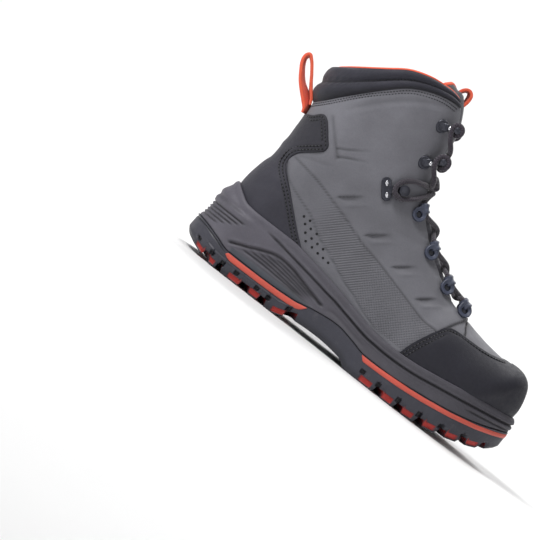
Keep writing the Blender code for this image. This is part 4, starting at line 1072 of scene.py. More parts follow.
def stitch_form(bag, line, offset, **how):
    """Stitches along a side-view line, on both sides of the form."""
    path = Path(line, 8)
    n = max(6, int(path.length / 1.2))
    p = path.at(np.linspace(0, 1, n))[:, :2]
    inside = lookup(p[:, 0], p[:, 1])[0] > 4
    p = p[inside]
    if len(p) < 4:
        return
    for side in (-1, 1):
        off = offset(p[:, 0], p[:, 1]) if callable(offset) else offset
        a = surface(p[:, 0], p[:, 1], side, off)
        b = surface(p[:, 0], p[:, 1], side, np.asarray(off) + 1.0)
        stitches(bag, a, b - a, **how)


# ---------------------------------------------------------------- midsole
def end_round(x, x0, x1):
    a, b = np.clip((x - x0) / HEEL_ROUND, 0, 1), np.clip((x1 - x) / TOE_ROUND, 0, 1)
    return np.sqrt(1 - (1 - a) ** 2) * np.sqrt(1 - (1 - b) ** 2)


def fractions(heel, mid, toe):
    return np.concatenate([
        (1 - np.cos(np.linspace(0, math.pi / 2, heel + 1))) * HEEL_ROUND,
        np.linspace(HEEL_ROUND, 387 - TOE_ROUND, mid + 1)[1:-1],
        387 - (1 - np.cos(np.linspace(math.pi / 2, 0, toe + 1))) * TOE_ROUND,
    ]) / 387


def sole_point(x, side, margin, z, x0, x1):
    half = (smooth(PLAN, x, 1) + margin) * end_round(x, x0, x1)
    return np.stack([x, smooth(PLAN, x, 2) + side * half, z], axis=-1)


parting = lambda x: smooth(PARTING, x)
tread = lambda x: smooth(TREAD, x)
rim = lambda x: smooth(FEATHER, x) - 0.5

GROOVE_1 = [
    (33, 63.8), (50, 62), (60, 60.5), (70, 59), (80, 57.5), (90, 56), (100, 54.5), (110, 53), (120, 51.3), (130, 50), (140, 48),
    (150, 46), (160, 44), (170, 42), (180, 40.5), (190, 40), (200, 39.5), (220, 39.8), (240, 41.5), (260, 44.5), (280, 47.5),
    (300, 50.5), (320, 53.5), (340, 56), (356, 58),
]
GROOVE_2 = [(9, 31), (20, 35.5), (30, 39.5), (40, 44), (50, 48), (55, 49.5), (62, 50.5), (70, 50.3), (80, 49), (90, 46.5), (100, 44), (110, 41.5), (120, 39), (127, 37.8)]
PANEL_RIBS = [
    [(24, 34.5), (50, 34.8), (80, 33.4), (108, 31.8)],
    [(31, 38), (55, 38), (80, 36), (111, 33)],
    [(39, 41.5), (60, 41), (85, 38.6), (113, 34.6)],
    [(46, 44.6), (64, 44), (86, 41.3), (116, 36.2)],
    [(56, 47.2), (70, 46.4), (88, 43.8), (118, 37.8)],
]


def midsole_relief(x, z):
    r = Relief(x, z)
    # painted shade in the grooves and panel ribs below
    r.groove(GROOVE_1, 2.1, 1.05, (16, 0), 0.95, lip=0.45)
    r.groove(GROOVE_2, 2.2, 1.35, (6, 6), 0.95, lip=0.45)
    under, _, _ = along(GROOVE_2, x, z, 26)
    panel = np.where(np.abs(under) < 90, step(0.3, 2.5, -under) * step(28.5, 32, z) * step(16, 34, x) * (1 - step(112, 124, x)), 0)
    r.h -= 1.3 * panel
    for line in PANEL_RIBS:
        r.groove(line, 1.25, 0.95, (9, 16), 0.85, lip=0.50)
    near_heel = 1 - step(4, 26, x)
    # heel ribs, with painted shade in their grooves
    for k, (at, end) in enumerate(((39.5, -9), (43.2, -2), (47.0, 4), (50.8, 10), (54.6, 15))):
        g = np.exp(-(((z - at) / 0.85) ** 2)) * (1 - step(end - 6, end + 1, x))
        r.h -= 1.45 * g
        r.dark += 0.95 * g
        r.h += 0.60 * np.exp(-(((z - at - 1.9) / 0.9) ** 2)) * (1 - step(end - 6, end + 1, x))
    r.h += 1.3 * np.exp(-(((z - 60.0) / 3.2) ** 2)) * near_heel - 1.1 * np.exp(-(((z - 64.2) / 2.4) ** 2)) * (1 - step(-6, 16, x))
    # painted shadow under the heel's ledge
    r.dark += 0.34 * np.exp(-(((z - 62.6) / 1.7) ** 2)) * (1 - step(-8, 12, x))
    # soft bead under the upper, and a second line round the toe, with painted shade in its groove
    up = z - rim(x)
    r.h += 0.55 * np.exp(-(((up + 2.6) / 1.9) ** 2)) - 0.3 * np.exp(-(((up + 7.5) / 2.2) ** 2))
    r.groove([(296, 44.5), (312, 46.5), (330, 49), (345, 51), (356, 52)], 1.0, 0.8, (14, 0), 0.6, lip=0.25)
    r.groove([(128, 38), (140, 39.5), (156, 37), (172, 34), (186, 31.5)], 0.7, 2.2, (8, 12), 0.12)
    blue = step(16.5, 19, x) * (1 - step(114, 119, x)) * (1 - step(29.2, 30.6, z - 0.012 * (x - 20)))
    # painted shade along the blue band's top and in the parting groove
    r.dark += 0.6 * np.exp(-(((z - 0.012 * (x - 20) - 30.4) / 0.8) ** 2)) * step(20, 30, x) * (1 - step(104, 116, x))
    r.dark += 0.7 * np.exp(-(((z - parting(x)) / 0.9) ** 2))
    r.h -= 0.8 * np.exp(-(((z - parting(x)) / 0.8) ** 2))
    return r.h, np.clip(r.dark, 0, 1), blue


def make_midsole(finish):
    q = fractions(60, 250, 90)
    shares = np.linspace(0, 1, 46)
    wall = np.array(SOLE_WALL)
    px0, px1, pm = (np.array([(r[0], r[k]) for r in SOLE_WALL]) for k in (1, 2, 3))
    bag = Bag()
    for side in (-1, 1):
        rows = []
        for s in shares:
            x0, x1, m = (float(smooth(t, s)) for t in (px0, px1, pm))
            x = x0 + (x1 - x0) * q
            rows.append(sole_point(x, side, m, (1 - s) * parting(x) + s * rim(x), x0, x1))
        p = np.array(rows)
        du, dv = np.gradient(p, axis=1), np.gradient(p, axis=0)
        n = np.cross(du, dv)
        n /= np.maximum(np.linalg.norm(n, axis=-1, keepdims=True), 1e-9)
        n *= -np.sign(n[len(n) // 2, len(q) // 2, 1]) * -side
        n[:, 0], n[:, -1] = (-1, 0, 0), (1, 0, 0)
        h, dark, blue = midsole_relief(p[..., 0], p[..., 2])
        # painted shade: darker from the waist towards the toe
        dark = np.clip(dark + 0.47 * step(30, 190, p[..., 0]), 0, 1)
        p = p + n * h[..., None]
        x0, x1, m = SOLE_WALL[-1][1:]
        lip = []
        for inward, up in ((0.5, 0.45), (1.2, 0.75), (2.2, 0.7), (3.2, 0.2), (5.0, -1.0), (6.5, -3.0)):
            x = (x0 + inward) + (x1 - x0 - 2 * inward) * q
            lip.append(sole_point(x, side, m - inward, rim(x) + up, x0 + inward, x1 - inward))
        foot = []
        for inward, down in ((7.0, -0.6), (30.0, -0.6)):
            x = (SOLE_WALL[0][1] + inward) + (SOLE_WALL[0][2] - SOLE_WALL[0][1] - 2 * inward) * q
            foot.append(sole_point(x, side, SOLE_WALL[0][3] - inward, parting(x) + down, SOLE_WALL[0][1] + inward, SOLE_WALL[0][2] - inward))
        whole = np.concatenate([np.array(foot[::-1]), p, np.array(lip)])
        pad = lambda a: np.concatenate([np.zeros((2, len(q))), a, np.zeros((6, len(q)))])
        bag.add(whole.reshape(-1, 3), grid_faces(*whole.shape[:2], side == 1), dark=pad(dark).ravel(), blue=pad(blue).ravel())
    piece("midsole_shell", bag, finish, weld=True, node="midsole")


# ---------------------------------------------------------------- outsole trim
STRIPE_REAR_TOP = [(16.5, 21.2), (18, 23.1), (20, 23.4), (30, 23.1), (60, 23.3), (80, 23.8), (100, 25.3), (108, 27.0), (112, 27.6), (114, 27.8)]
STRIPE_REAR_LOW = [(16.5, 20.2), (20, 18.2), (24, 17.1), (60, 17.3), (80, 17.8), (95, 18.7), (105, 20), (108, 21.2), (111, 23.6), (114, 27.2)]
STRIPE_FRONT_TOP = [(186, 25.3), (200, 25.3), (215, 25.8), (230, 26.8), (245, 28), (260, 29.5), (290, 33.5), (320, 39), (340, 44), (354, 48)]
STRIPE_FRONT_LOW = [(186, 24.6), (190, 20), (205, 20.4), (220, 20.9), (235, 21.8), (248, 23), (262, 24.4), (290, 28.5), (320, 34), (340, 39), (354, 43)]


def outsole_wall(x, z, side, out=0.0):
    """A point on the outsole's side wall at a height."""
    low = tread(x) + np.minimum(4.0, 0.5 * (parting(x) - tread(x)))
    t = np.clip((z - low) / np.maximum(parting(x) - low, 1), 0, 1)
    return sole_point(x, side, 7.4 - 0.4 * t + out, z, -33 + t - out, 353.6 + 0.2 * t + out)


def make_stripes(finish):
    bag = Bag()
    for top, low, n, ends in ((STRIPE_REAR_TOP, STRIPE_REAR_LOW, 90, False), (STRIPE_FRONT_TOP, STRIPE_FRONT_LOW, 150, True)):
        x0, x1 = top[0][0], top[-1][0]
        x = x0 + (x1 - x0) * (np.sin(np.linspace(0, math.pi / 2, n)) if ends else np.linspace(0, 1, n))
        if ends:
            x = np.minimum(x, 353.6)
        zt, zl = np.interp(x, *zip(*top)), np.interp(x, *zip(*low))
        for side in (-1, 1):
            rows = []
            for share, out in ((0.0, -0.6), (0.04, 0.25), (0.12, 0.55), (0.5, 0.72), (0.88, 0.55), (0.96, 0.25), (1.0, -0.6)):
                rows.append(outsole_wall(x, zl + (zt - zl) * share, side, out))
            p = np.array(rows)
            bag.add(p.reshape(-1, 3), grid_faces(*p.shape[:2], side == 1))
    piece("sole_stripes", bag, finish, weld=True)


# ---------------------------------------------------------------- tubes and bands
def frames(p, closed=False):
    """Tangent and two crossing directions along a path, without twist."""
    p = np.asarray(p, float)
    if closed:
        t = np.roll(p, -1, 0) - np.roll(p, 1, 0)
    else:
        t = np.gradient(p, axis=0)
    t /= np.maximum(np.linalg.norm(t, axis=1), 1e-9)[:, None]
    a = np.zeros_like(p)
    seed = np.array([0, 1.0, 0]) if abs(t[0, 1]) < 0.9 else np.array([0, 0, 1.0])
    a[0] = unit(seed - t[0] * (seed @ t[0]))
    for k in range(1, len(p)):
        v = a[k - 1] - t[k] * (a[k - 1] @ t[k])
        a[k] = v / max(np.linalg.norm(v), 1e-9)
    return t, a, np.cross(t, a)


def spline(points, gap=1.3):
    """A smooth curve through the points, in even steps."""
    p = np.asarray(points, float)
    ends = np.vstack([2 * p[0] - p[1], p, 2 * p[-1] - p[-2]])
    out = []
    for k in range(len(p) - 1):
        a, b, c, d = ends[k : k + 4]
        # centripetal spacing keeps tight turns from overshooting
        ta = 0.0
        tb = ta + max(np.linalg.norm(b - a), 1e-6) ** 0.5
        tc = tb + max(np.linalg.norm(c - b), 1e-6) ** 0.5
        td = tc + max(np.linalg.norm(d - c), 1e-6) ** 0.5
        t = np.linspace(tb, tc, 20, endpoint=False)[:, None]
        a1, a2, a3 = (tb - t) / (tb - ta) * a + (t - ta) / (tb - ta) * b, (tc - t) / (tc - tb) * b + (t - tb) / (tc - tb) * c, (td - t) / (td - tc) * c + (t - tc) / (td - tc) * d
        b1, b2 = (tc - t) / (tc - ta) * a1 + (t - ta) / (tc - ta) * a2, (td - t) / (td - tb) * a2 + (t - tb) / (td - tb) * a3
        out.append((tc - t) / (tc - tb) * b1 + (t - tb) / (tc - tb) * b2)
    q = np.vstack(out + [p[-1:]])
    s = np.concatenate([[0], np.cumsum(np.linalg.norm(np.diff(q, axis=0), axis=1))])
    at = np.linspace(0, s[-1], max(4, int(s[-1] / gap)))
    return np.stack([np.interp(at, s, q[:, i]) for i in range(3)], axis=-1), at


def tube(bag, points, radius, sides=12, gap=1.3, flat=1.0, taper=0, closed_ends=True):
    p, run = spline(points, gap)
    t, a, b = frames(p)
    ang = np.linspace(0, 2 * math.pi, sides, endpoint=False)
    r = np.full(len(p), float(radius))
    if taper:
        edge = np.minimum(run, run[-1] - run)
        r *= 0.35 + 0.65 * np.sqrt(np.clip(edge / taper, 0, 1))
    v = p[:, None] + r[:, None, None] * (np.cos(ang)[None, :, None] * a[:, None] + flat * np.sin(ang)[None, :, None] * b[:, None])
    n = len(p)
    i = np.arange(n * sides).reshape(n, sides)
    j = np.roll(i, -1, 1)
    f = np.stack([i[:-1], j[:-1], j[1:], i[1:]], axis=-1).reshape(-1, 4).tolist()
    if closed_ends:
        f += [list(range(sides))[::-1], [(n - 1) * sides + k for k in range(sides)]]
    bag.add(v.reshape(-1, 3), f, run=np.repeat(run, sides), turn=np.tile(ang / (2 * math.pi), n))


def turned(bag, p, n, up, rings, sides=28, stretch=1.0, across=None):
    """A turned form on an axis: rings are (radius, height)."""
    side = np.cross(n, up)
    a = np.linspace(0, 2 * math.pi, sides, endpoint=False)
    v = []
    for r, h in rings:
        v.append(p + n * h + np.outer(np.cos(a), up * r * stretch) + np.outer(np.sin(a), side * r))
    f = [[k * sides + i, k * sides + (i + 1) % sides, (k + 1) * sides + (i + 1) % sides, (k + 1) * sides + i] for k in range(len(rings) - 1) for i in range(sides)]
    f += [list(range(sides))[::-1], [(len(rings) - 1) * sides + i for i in range(sides)]]
    bag.add(np.vstack(v), f)


# ---------------------------------------------------------------- collar
collar_q0 = b_top + mm(0.5) / back_path.length
collar_q1 = back_path.share_near(-10.5, 238)
s_collar = front_path.share_near(108, 286)
PROUD = [(-0.05, -1.2), (0.0, -0.3), (0.04, 1.1), (0.12, 2.5), (0.25, 3.2), (0.38, 2.5), (0.46, 1.1), (0.50, 0.65), (0.54, 1.1), (0.64, 2.6), (0.77, 3.1), (0.89, 2.3), (0.96, 1.1), (1.0, 0.1)]
DEEP = [(0.0, 2.9), (0.1, 4.6), (0.3, 6.3), (0.5, 6.9), (0.75, 6.2), (0.9, 4.7), (1.0, 2.6)]


def collar_grid(qs, us):
    front = np.array([throat_front(s_top + q * (s_collar - s_top), 24.5) for q in (0, 1, *qs)])
    back = back_path.at(collar_q0 + np.array([0, 1, *qs]) * (collar_q1 - collar_q0))[:, :2]
    bottom = seam.at(us)[:, :2] - np.array([0, 0.6])
    bottom[0], bottom[-1] = back[0], front[0]
    top = Path(COLLAR_TOP[:-1] + [tuple(front[1])]).at(us)[:, :2]
    top[0] = back[1]
    return coons(bottom, top, back[2:], front[2:], us, np.asarray(qs))


def make_collar(cloth, cord_cloth, thread):
    us = np.concatenate([0.34 * (1 - np.cos(np.linspace(0, math.pi / 2, 56))), np.linspace(0.34, 1, 110)[1:]])
    along_m = us * seam.length
    slim = 1 - step(0.42, 0.80, us)
    low = 1 - 0.62 * step(0.30, 1.0, us)
    edge = np.sqrt(1 - (1 - np.clip((1 - us) * seam.length / 3.4, 0, 1)) ** 2)
    q_out, q_in = np.linspace(0, 1, 46), np.linspace(1, 0, 30)
    grids, offs, inner, dark = [], [], [], []
    g = collar_grid(q_out, us)
    o = mm(smooth(PROUD, q_out))[:, None] * low[None]
    pucker = np.exp(-(((np.abs(q_out - 0.5) - 0.075) / 0.045) ** 2))[:, None] * np.sin(along_m * 2 * math.pi / 6.4 + 0.6 * np.sin(along_m / 9.0))[None]
    o = o + 2.8 * (step(0.06, 0.3, q_out) * (1 - step(0.9, 1.0, q_out)))[:, None] * np.exp(-((along_m / 24.0) ** 2))[None]
    o = o + 0.26 * pucker * low[None] + 0.5 * np.sin(along_m / 19.0 + 1.0)[None] * np.sin(q_out * math.pi)[:, None]
    grids.append(g)
    offs.append(o)
    inner.append(np.zeros_like(o))
    # painted shade in the groove between the rolls and at the collar's foot
    dark.append(
        0.75 * np.exp(-(((q_out - 0.5) / 0.035) ** 2))[:, None] * np.ones_like(o)
        + 0.85 * np.exp(-((q_out / 0.16) ** 2))[:, None] * np.ones_like(o)
    )
    g = collar_grid(q_in, us)
    o = -(mm(2.2) + (mm(smooth(DEEP, q_in)) - mm(2.2))[:, None] * slim[None])
    o = o - 0.4 * np.sin(along_m / 14.0)[None] * np.sin(q_in * math.pi)[:, None]
    grids.append(g)
    offs.append(o)
    inner.append(np.broadcast_to(np.where(q_in < 0.985, 1.0, 0.4)[:, None], o.shape))
    # painted shade on the inside
    dark.append(0.15 * np.ones_like(o))
    grid, off = np.concatenate(grids), np.concatenate(offs)
    mid = -mm(1.1)
    off = mid + (off - mid) * edge[None]
    pin = np.zeros(off.shape, bool)
    pin[:, 0] = True
    bag = Bag()
    two_sides(bag, grid, off, pin, inner=np.concatenate(inner), dark=np.clip(np.concatenate(dark), 0, 1))
    ob = piece("collar_padding", bag, cloth, weld=True, node="collar")
    bag = Bag()
    top = collar_grid(np.array([1.0]), us)[0]
    sides = [surface(top[:, 0], top[:, 1], side, mid + 0.2) + np.array([0, 0, 0.35]) for side in (-1, 1)]
    line = np.vstack([sides[0][::-1][:-1], sides[1]])
    line = line[np.concatenate([[True], np.linalg.norm(np.diff(line, axis=0), axis=1) > 0.4])]
    tube(bag, line[::2], 1.25, sides=10, gap=1.6, taper=2)
    piece("collar_piping", bag, cord_cloth)
    bag = Bag()
    q = collar_grid(np.array([0.5]), us)[0]
    keep = slice(3, -4)
    for side in (-1, 1):
        o = (mm(0.65) * low)[keep]
        a = surface(q[keep, 0], q[keep, 1], side, o)
        b = surface(q[keep, 0], q[keep, 1], side, o + 1)
        stitches(bag, a, b - a, pitch=3.1, length=2.1, radius=0.48, lift=0.12)
    piece("collar_stitches", bag, thread)


# ---------------------------------------------------------------- tongue
t_low, t_high = front_path.share_near(264, 111), front_path.share_near(103, 292)


def front_points(shares, ys, depths):
    """front_point for many points at once."""
    f = front_path.at(shares)
    d = front_path.at(np.minimum(shares + 0.004, 1))[..., :2] - front_path.at(np.maximum(shares - 0.004, 0))[..., :2]
    length = np.hypot(d[..., 0], d[..., 1])
    nx, nz = d[..., 1] / length, -d[..., 0] / length
    x, z, radius = f[..., 0], f[..., 1], f[..., 2]

    def deep(y):
        depth = np.zeros_like(y)
        for _ in range(4):
            h = half_base(x + nx * depth, z + nz * depth)
            depth = radius * (1 - np.sqrt(1 - np.minimum(np.abs(y) / h, 0.97) ** 2))
        return depth

    slope = (deep(ys + 0.2) - deep(ys - 0.2)) / 0.4
    k = depths / np.hypot(1, slope)
    sink = deep(ys) + k
    px, pz = x + nx * sink, z + nz * sink
    return np.stack([px, centre(px, pz) + ys - k * slope, pz], axis=-1)


def throat_gap(shares):
    return smooth(THROAT, np.clip((s_throat - np.asarray(shares)) / (s_throat - s_top), 0, 1))


TONGUE_UP = np.array([-0.60, 0, 0.80])


def tongue_ear(q, y):
    """The tongue's top stands up higher at both sides."""
    return 11.0 * step(7, 30, np.abs(y)) * step(0.84, 1.0, q)


def make_tongue(cloth, cord_cloth, thread):
    long, wide = 150, 48
    q = np.linspace(0, 1, long + 1)
    shares = t_low + (t_high - t_low) * q
    length = abs(t_high - t_low) * front_path.length
    half = smooth(TONGUE, q)
    t = np.sin((np.linspace(-1, 1, wide + 1)) * math.pi / 2)
    y = half[:, None] * t[None]
    share = np.broadcast_to(shares[:, None], y.shape)
    up = (s_throat - shares) / (s_throat - s_top)
    g = throat_gap(shares)
    rise = mm(2.6) * step(0, 1, (g[:, None] - mm(1.6) - np.abs(y)) / 6) * step(0.05, 0.14, up)[:, None]
    rise = rise + 0.35 * np.sin(q * length / 6.5)[:, None] * np.exp(-((y / 9.0) ** 2)) * step(0.1, 0.3, up)[:, None]
    sunken = (step(0.49, 0.55, up) * (1 - step(0.75, 0.82, up)))[:, None]
    rise = rise + (2.9 - 2.4 * step(0.44, 0.54, up)[:, None] - 1.3 * sunken) * np.sqrt(np.clip(1 - (y / np.maximum(g[:, None] + 2, 1)) ** 2, 0, 1)) * step(0.08, 0.3, up)[:, None]
    rise = rise - 0.9 * np.exp(-((y / 1.4) ** 2)) * (step(0.3, 0.5, up) * (1 - step(0.8, 0.9, up)))[:, None]
    gap = np.minimum(half[:, None] - np.abs(y), np.minimum(q, 1 - q)[:, None] * length)
    thick = mm(1e3 * TONGUE_THICK)
    ht = thick / 2 * np.sqrt(1 - (1 - np.clip(gap / 2.6, 0, 1)) ** 2)
    middle = mm(1e3 * TONGUE_UNDER) - rise + thick / 2
    bag = Bag()
    ear = tongue_ear(q[:, None], y)
    for layer, sign in ((0, -1), (1, 1)):
        p = front_points(share, y, middle + sign * ht) + ear[..., None] * TONGUE_UP
        rim_share = (np.exp(-((gap / 2.2) ** 2)) * step(0.80, 0.9, q)[:, None]).ravel()
        # painted shade beside the throat edges and over the ears beyond them, and on the underside
        bag.add(
            p.reshape(-1, 3), grid_faces(*y.shape, layer == 1),
            inner=(np.ones(y.shape) * step(0.70, 0.76, q)[:, None]).ravel() if layer else rim_share * 0,
            dark=np.maximum(0.35 * np.exp(-(((np.abs(y) - g[:, None]) / 3.0) ** 2)), 0.45 * step(-5, 1, np.abs(y) - g[:, None]) * step(0.78, 0.86, q)[:, None]).ravel() if not layer else 0.1,
        )
    ob = piece("tongue_padding", bag, cloth, weld=True, node="tongue")
    bag = Bag()
    q2 = np.concatenate([np.linspace(0.86, 1.0, 20), np.full(30, 1.0), np.linspace(1.0, 0.86, 20)])
    h2 = smooth(TONGUE, q2)
    y2 = np.concatenate([-h2[:20], np.sin(np.linspace(-1, 1, 30) * math.pi / 2) * h2[20:50], h2[50:]])
    s2 = t_low + (t_high - t_low) * q2
    line = front_points(s2, y2, np.full(len(q2), mm(1e3 * TONGUE_UNDER) + thick / 2)) + tongue_ear(q2, y2)[:, None] * TONGUE_UP
    line = line[np.concatenate([[True], np.linalg.norm(np.diff(line, axis=0), axis=1) > 0.5])]
    tube(bag, line, 2.3, sides=12, gap=1.5, taper=2)
    piece("tongue_piping", bag, cord_cloth)


# ---------------------------------------------------------------- pull loops
def make_ribbon(name, rows, width, thick, finish, node):
    """Webbing along rows of (x, z, turn in degrees, thickness share), its width across the boot."""
    r = np.array(rows, float)
    p, run = spline(np.stack([r[:, 0], np.zeros(len(r)), r[:, 1]], axis=-1), 0.9)
    knots = np.array([run[np.argmin(np.linalg.norm(p[:, [0, 2]] - q[:2], axis=1))] for q in r])
    turn, share = np.radians(np.interp(run, knots, r[:, 2])), np.interp(run, knots, r[:, 3])
    t = np.gradient(p, axis=0)
    t /= np.linalg.norm(t, axis=1)[:, None]
    flat = np.stack([t[:, 2], np.zeros(len(t)), -t[:, 0]], axis=-1)
    w = np.cos(turn)[:, None] * np.array([0, 1.0, 0]) + np.sin(turn)[:, None] * flat
    n = np.cross(t, w)
    prof = [(-1, -0.3), (-0.985, -0.75), (-0.93, -1), (-0.5, -0.93), (0, -1), (0.5, -0.93), (0.93, -1), (0.985, -0.75), (1, -0.3), (1, 0.3), (0.985, 0.75), (0.93, 1), (0.5, 0.93), (0, 1), (-0.5, 0.93), (-0.93, 1), (-0.985, 0.75), (-1, 0.3)]
    v = np.stack([p + w * (a * width / 2) + n * (c * thick / 2 * share)[:, None] for a, c in prof], axis=1)
    v = v + np.array([0, centre(50.0, 180.0), 0])
    m, k = len(prof), len(p)
    i = np.arange(k * m).reshape(k, m)
    j = np.roll(i, -1, 1)
    f = np.stack([i[:-1], j[:-1], j[1:], i[1:]], axis=-1).reshape(-1, 4).tolist()
    f += [list(range(m))[::-1], [(k - 1) * m + q for q in range(m)]]
    bag = Bag()
    bag.add(v.reshape(-1, 3), f, run=np.repeat(run, m))
    return piece(name, bag, finish, node=node)


HEEL_LOOP = [
    (-9.6, 180, 14, 0.7), (-11.0, 185.8, 20, 0.9), (-15.6, 191.4, 24, 1.0), (-22.6, 197.4, 20, 1.0), (-30.5, 203.9, 12, 1.0), (-36.9, 211.8, 8, 1.0),
    (-42.4, 221, 6, 1.0), (-43.6, 227, 4, 1.0), (-41.2, 230.6, 4, 1.0), (-37.0, 227.8, 2, 1.0), (-29.2, 218, 2, 1.0), (-23.4, 209.4, 3, 1.0), (-17.6, 201.4, 5, 1.0), (-13.2, 195.6, 6, 0.9), (-10.6, 190, 6, 0.7),
]
TONGUE_LOOP = [
    (97.5, 283, 4, 0.8), (100.4, 287.6, 4, 1.0), (102.2, 292.6, 5, 1.0), (104.0, 296.2, 5, 1.0), (107.0, 298.9, 6, 1.0), (110.3, 299.1, 10, 1.0), (112.8, 296.4, 16, 1.0),
    (113.6, 291.9, 16, 1.0), (113.4, 286.5, 10, 1.0), (111.9, 281.4, 6, 0.9), (109.0, 276.5, 4, 0.7),
]


# ---------------------------------------------------------------- moulded loops, hooks and lace
LOOPS = [("loop_1", 241, 121.5, 7.2), ("loop_2", 212.9, 129.2, 8.2), ("loop_3", 179.2, 146.8, 8.8), ("loop_4", 145.2, 170.4, 9.4)]
LEAN = math.radians(27)


def loop_place(x, z, side):
    """Ring in the side view at x, z: centre, face, up the throat, outward."""
    share = front_path.share_near(x, z)
    g = float(throat_gap(share))
    (fx, fz), n2, radius = front_frame(share)
    up2 = front_path.at(share - 0.01)[:2] - front_path.at(share + 0.01)[:2]
    up2 /= np.linalg.norm(up2)
    height = -float((np.array([x, z]) - (fx, fz)) @ n2)
    low = height - (LOOP_RADIUS + 0.8) * math.cos(LEAN) - 1.9
    y = g + 3.0
    while y < 38 and -sunk(fx, fz, n2, radius, y + 3.4) > low:
        y += 0.25
    out2 = -n2
    out = np.array([out2[0] * math.cos(LEAN), -side * math.sin(LEAN), out2[1] * math.cos(LEAN)])
    face = np.array([out2[0] * math.sin(LEAN), side * math.cos(LEAN), out2[1] * math.sin(LEAN)])
    p = np.array([fx + out2[0] * height, float(centre(fx, fz)) + side * y, fz + out2[1] * height])
    return p, face, np.array([up2[0], 0, up2[1]]), out, g, share


def loop_tunnel(x, z, reach, side):
    """Middle of the lace's tunnel in a moulded loop, and the way the lace runs there."""
    p, face, up, out, g, share = loop_place(x, z, side)
    c = p + reach * (math.cos(math.radians(36)) * out + math.sin(math.radians(36)) * up) - face * 1.6
    return c, unit(up - np.array([0, side * 0.14, 0]))


def swept_ring(bag, centre_point, face, up, out, section, sides):
    """A closed section of (radius, level) swept round an axis; radius may follow the angle."""
    a = np.linspace(0, 2 * math.pi, sides, endpoint=False)
    v = np.zeros((sides, len(section), 3))
    for k, (r, level) in enumerate(section):
        rr = r(a) if callable(r) else np.full(sides, float(r))
        v[:, k] = centre_point + face * level + np.outer(rr * np.cos(a), out) + np.outer(rr * np.sin(a), up)
    m = len(section)
    i = np.arange(sides * m).reshape(sides, m)
    j, nx = np.roll(i, -1, 1), np.roll(i, -1, 0)
    f = np.stack([i, j, np.roll(j, -1, 0), nx], axis=-1).reshape(-1, 4)
    bag.add(v.reshape(-1, 3), f if np.cross(out, up) @ face > 0 else f[:, ::-1])


def make_loops(finish, shade):
    bag, shade_backs = Bag(), Bag()
    for name, x, z, reach in LOOPS:
        for side in (-1, 1):
            p, face, up, out, g, _ = loop_place(x, z, side)
            outer = lambda a, k=1.0: k * (LOOP_RADIUS + 0.5 + 2.8 * np.maximum(0, np.cos(a - 0.72)) ** 5)
            swept_ring(bag, p, face, up, out, [
                (lambda a: outer(a, 0.90), 2.1), (lambda a: outer(a, 0.985), 1.5), (outer, 0.6), (outer, -0.8), (lambda a: outer(a, 0.95), -1.7),
                (4.4, -1.8), (3.5, -1.2), (3.4, 0.2), (3.6, 1.0), (4.3, 1.5), (lambda a: 4.3 + 0.42 * (outer(a) - 4.3), 1.55), (lambda a: 4.3 + 0.62 * (outer(a) - 4.3), 2.15),
            ], 44)
            # plate that closes the ring's back, coloured near black as painted shade in the ring's hole
            turned(shade_backs, p - face * 1.2, face, up, [(3.7, -0.9), (3.7, 0.1), (2.2, 0.25), (0.6, 0.25)], sides=20)
            # foot that ties the ring down to the upper
            c, way = loop_tunnel(x, z, reach, side)
            foot = [p - out * d - face * e for d, e in ((3.6, 0.6), (4.3, 2.2), (4.5, 4.4), (4.5, 7.0))]
            tube(bag, foot, 2.6, sides=12, gap=1.0, flat=0.8)
            # tunnel for the lace, with a waist between its two lips
            t = unit(way)
            u2 = unit(out - t * (out @ t))
            w2 = np.cross(t, u2)
            half = 4.9
            rows = [(-half, 3.0, 3.4), (-half, 3.9, 3.7), (-half + 0.6, 4.6, 4.3), (-half + 2.1, 4.7, 4.4), (-1.3, 4.0, 3.8), (1.1, 4.0, 3.8), (half - 2.1, 4.9, 4.5), (half - 0.6, 4.7, 4.3), (half, 3.9, 3.7), (half, 3.0, 3.4), (half - 0.8, 2.85, 2.75), (-half + 0.8, 2.85, 2.75)]
            a = np.linspace(0, 2 * math.pi, 26, endpoint=False)
            block = 1 + 0.10 * np.cos(4 * a)
            v = np.zeros((26, len(rows), 3))
            for k, (level, r, _) in enumerate(rows):
                rr = r * (block if r > 3.5 else 1.0) * np.ones(26)
                v[:, k] = c + t * level + np.outer(rr * np.cos(a), u2) + np.outer(rr * np.sin(a), w2)
            i = np.arange(26 * len(rows)).reshape(26, len(rows))
            j, nx = np.roll(i, -1, 1), np.roll(i, -1, 0)
            bag.add(v.reshape(-1, 3), np.stack([i, nx, np.roll(j, -1, 0), j], axis=-1).reshape(-1, 4))
    piece("loop_shade_backs", shade_backs, shade)
    ob = piece("moulded_loops", bag, finish, sharp=50, node=[f"{n[0]}_{t}" for n in LOOPS for t in ("lateral", "medial")])
    return ob


HOOKS = [
    ("hook_1", (117.4, 214.4), (122.4, 216.8), (132.9, 225.6)),
    ("hook_2", (109.4, 253.3), (116.2, 256.0), (124.6, 258.8)),
]
LOCK_MID, LOCK_WAY, LOCK_END = (104.1, 170.0), (0.6115, -0.791), (117.0, 178.2)


def on_form(x, z, side, level=0.0):
    a, b = surface([x], [z], side, level)[0], surface([x], [z], side, level + 1.0)[0]
    return a, unit(b - a)


def hook_end(base, end, side, out=0.0):
    """The hook's free end stands level with its base, clear of the form that falls away under it."""
    p, n = on_form(*base, side)
    q = np.array([end[0], p[1] + side * out, end[1]])
    if lookup(end[0], end[1])[0] > 9:
        r, m = on_form(*end, side)
        q[1] = side * max(abs(q[1]), abs(r[1]) + 0.3)
    return p, n, q


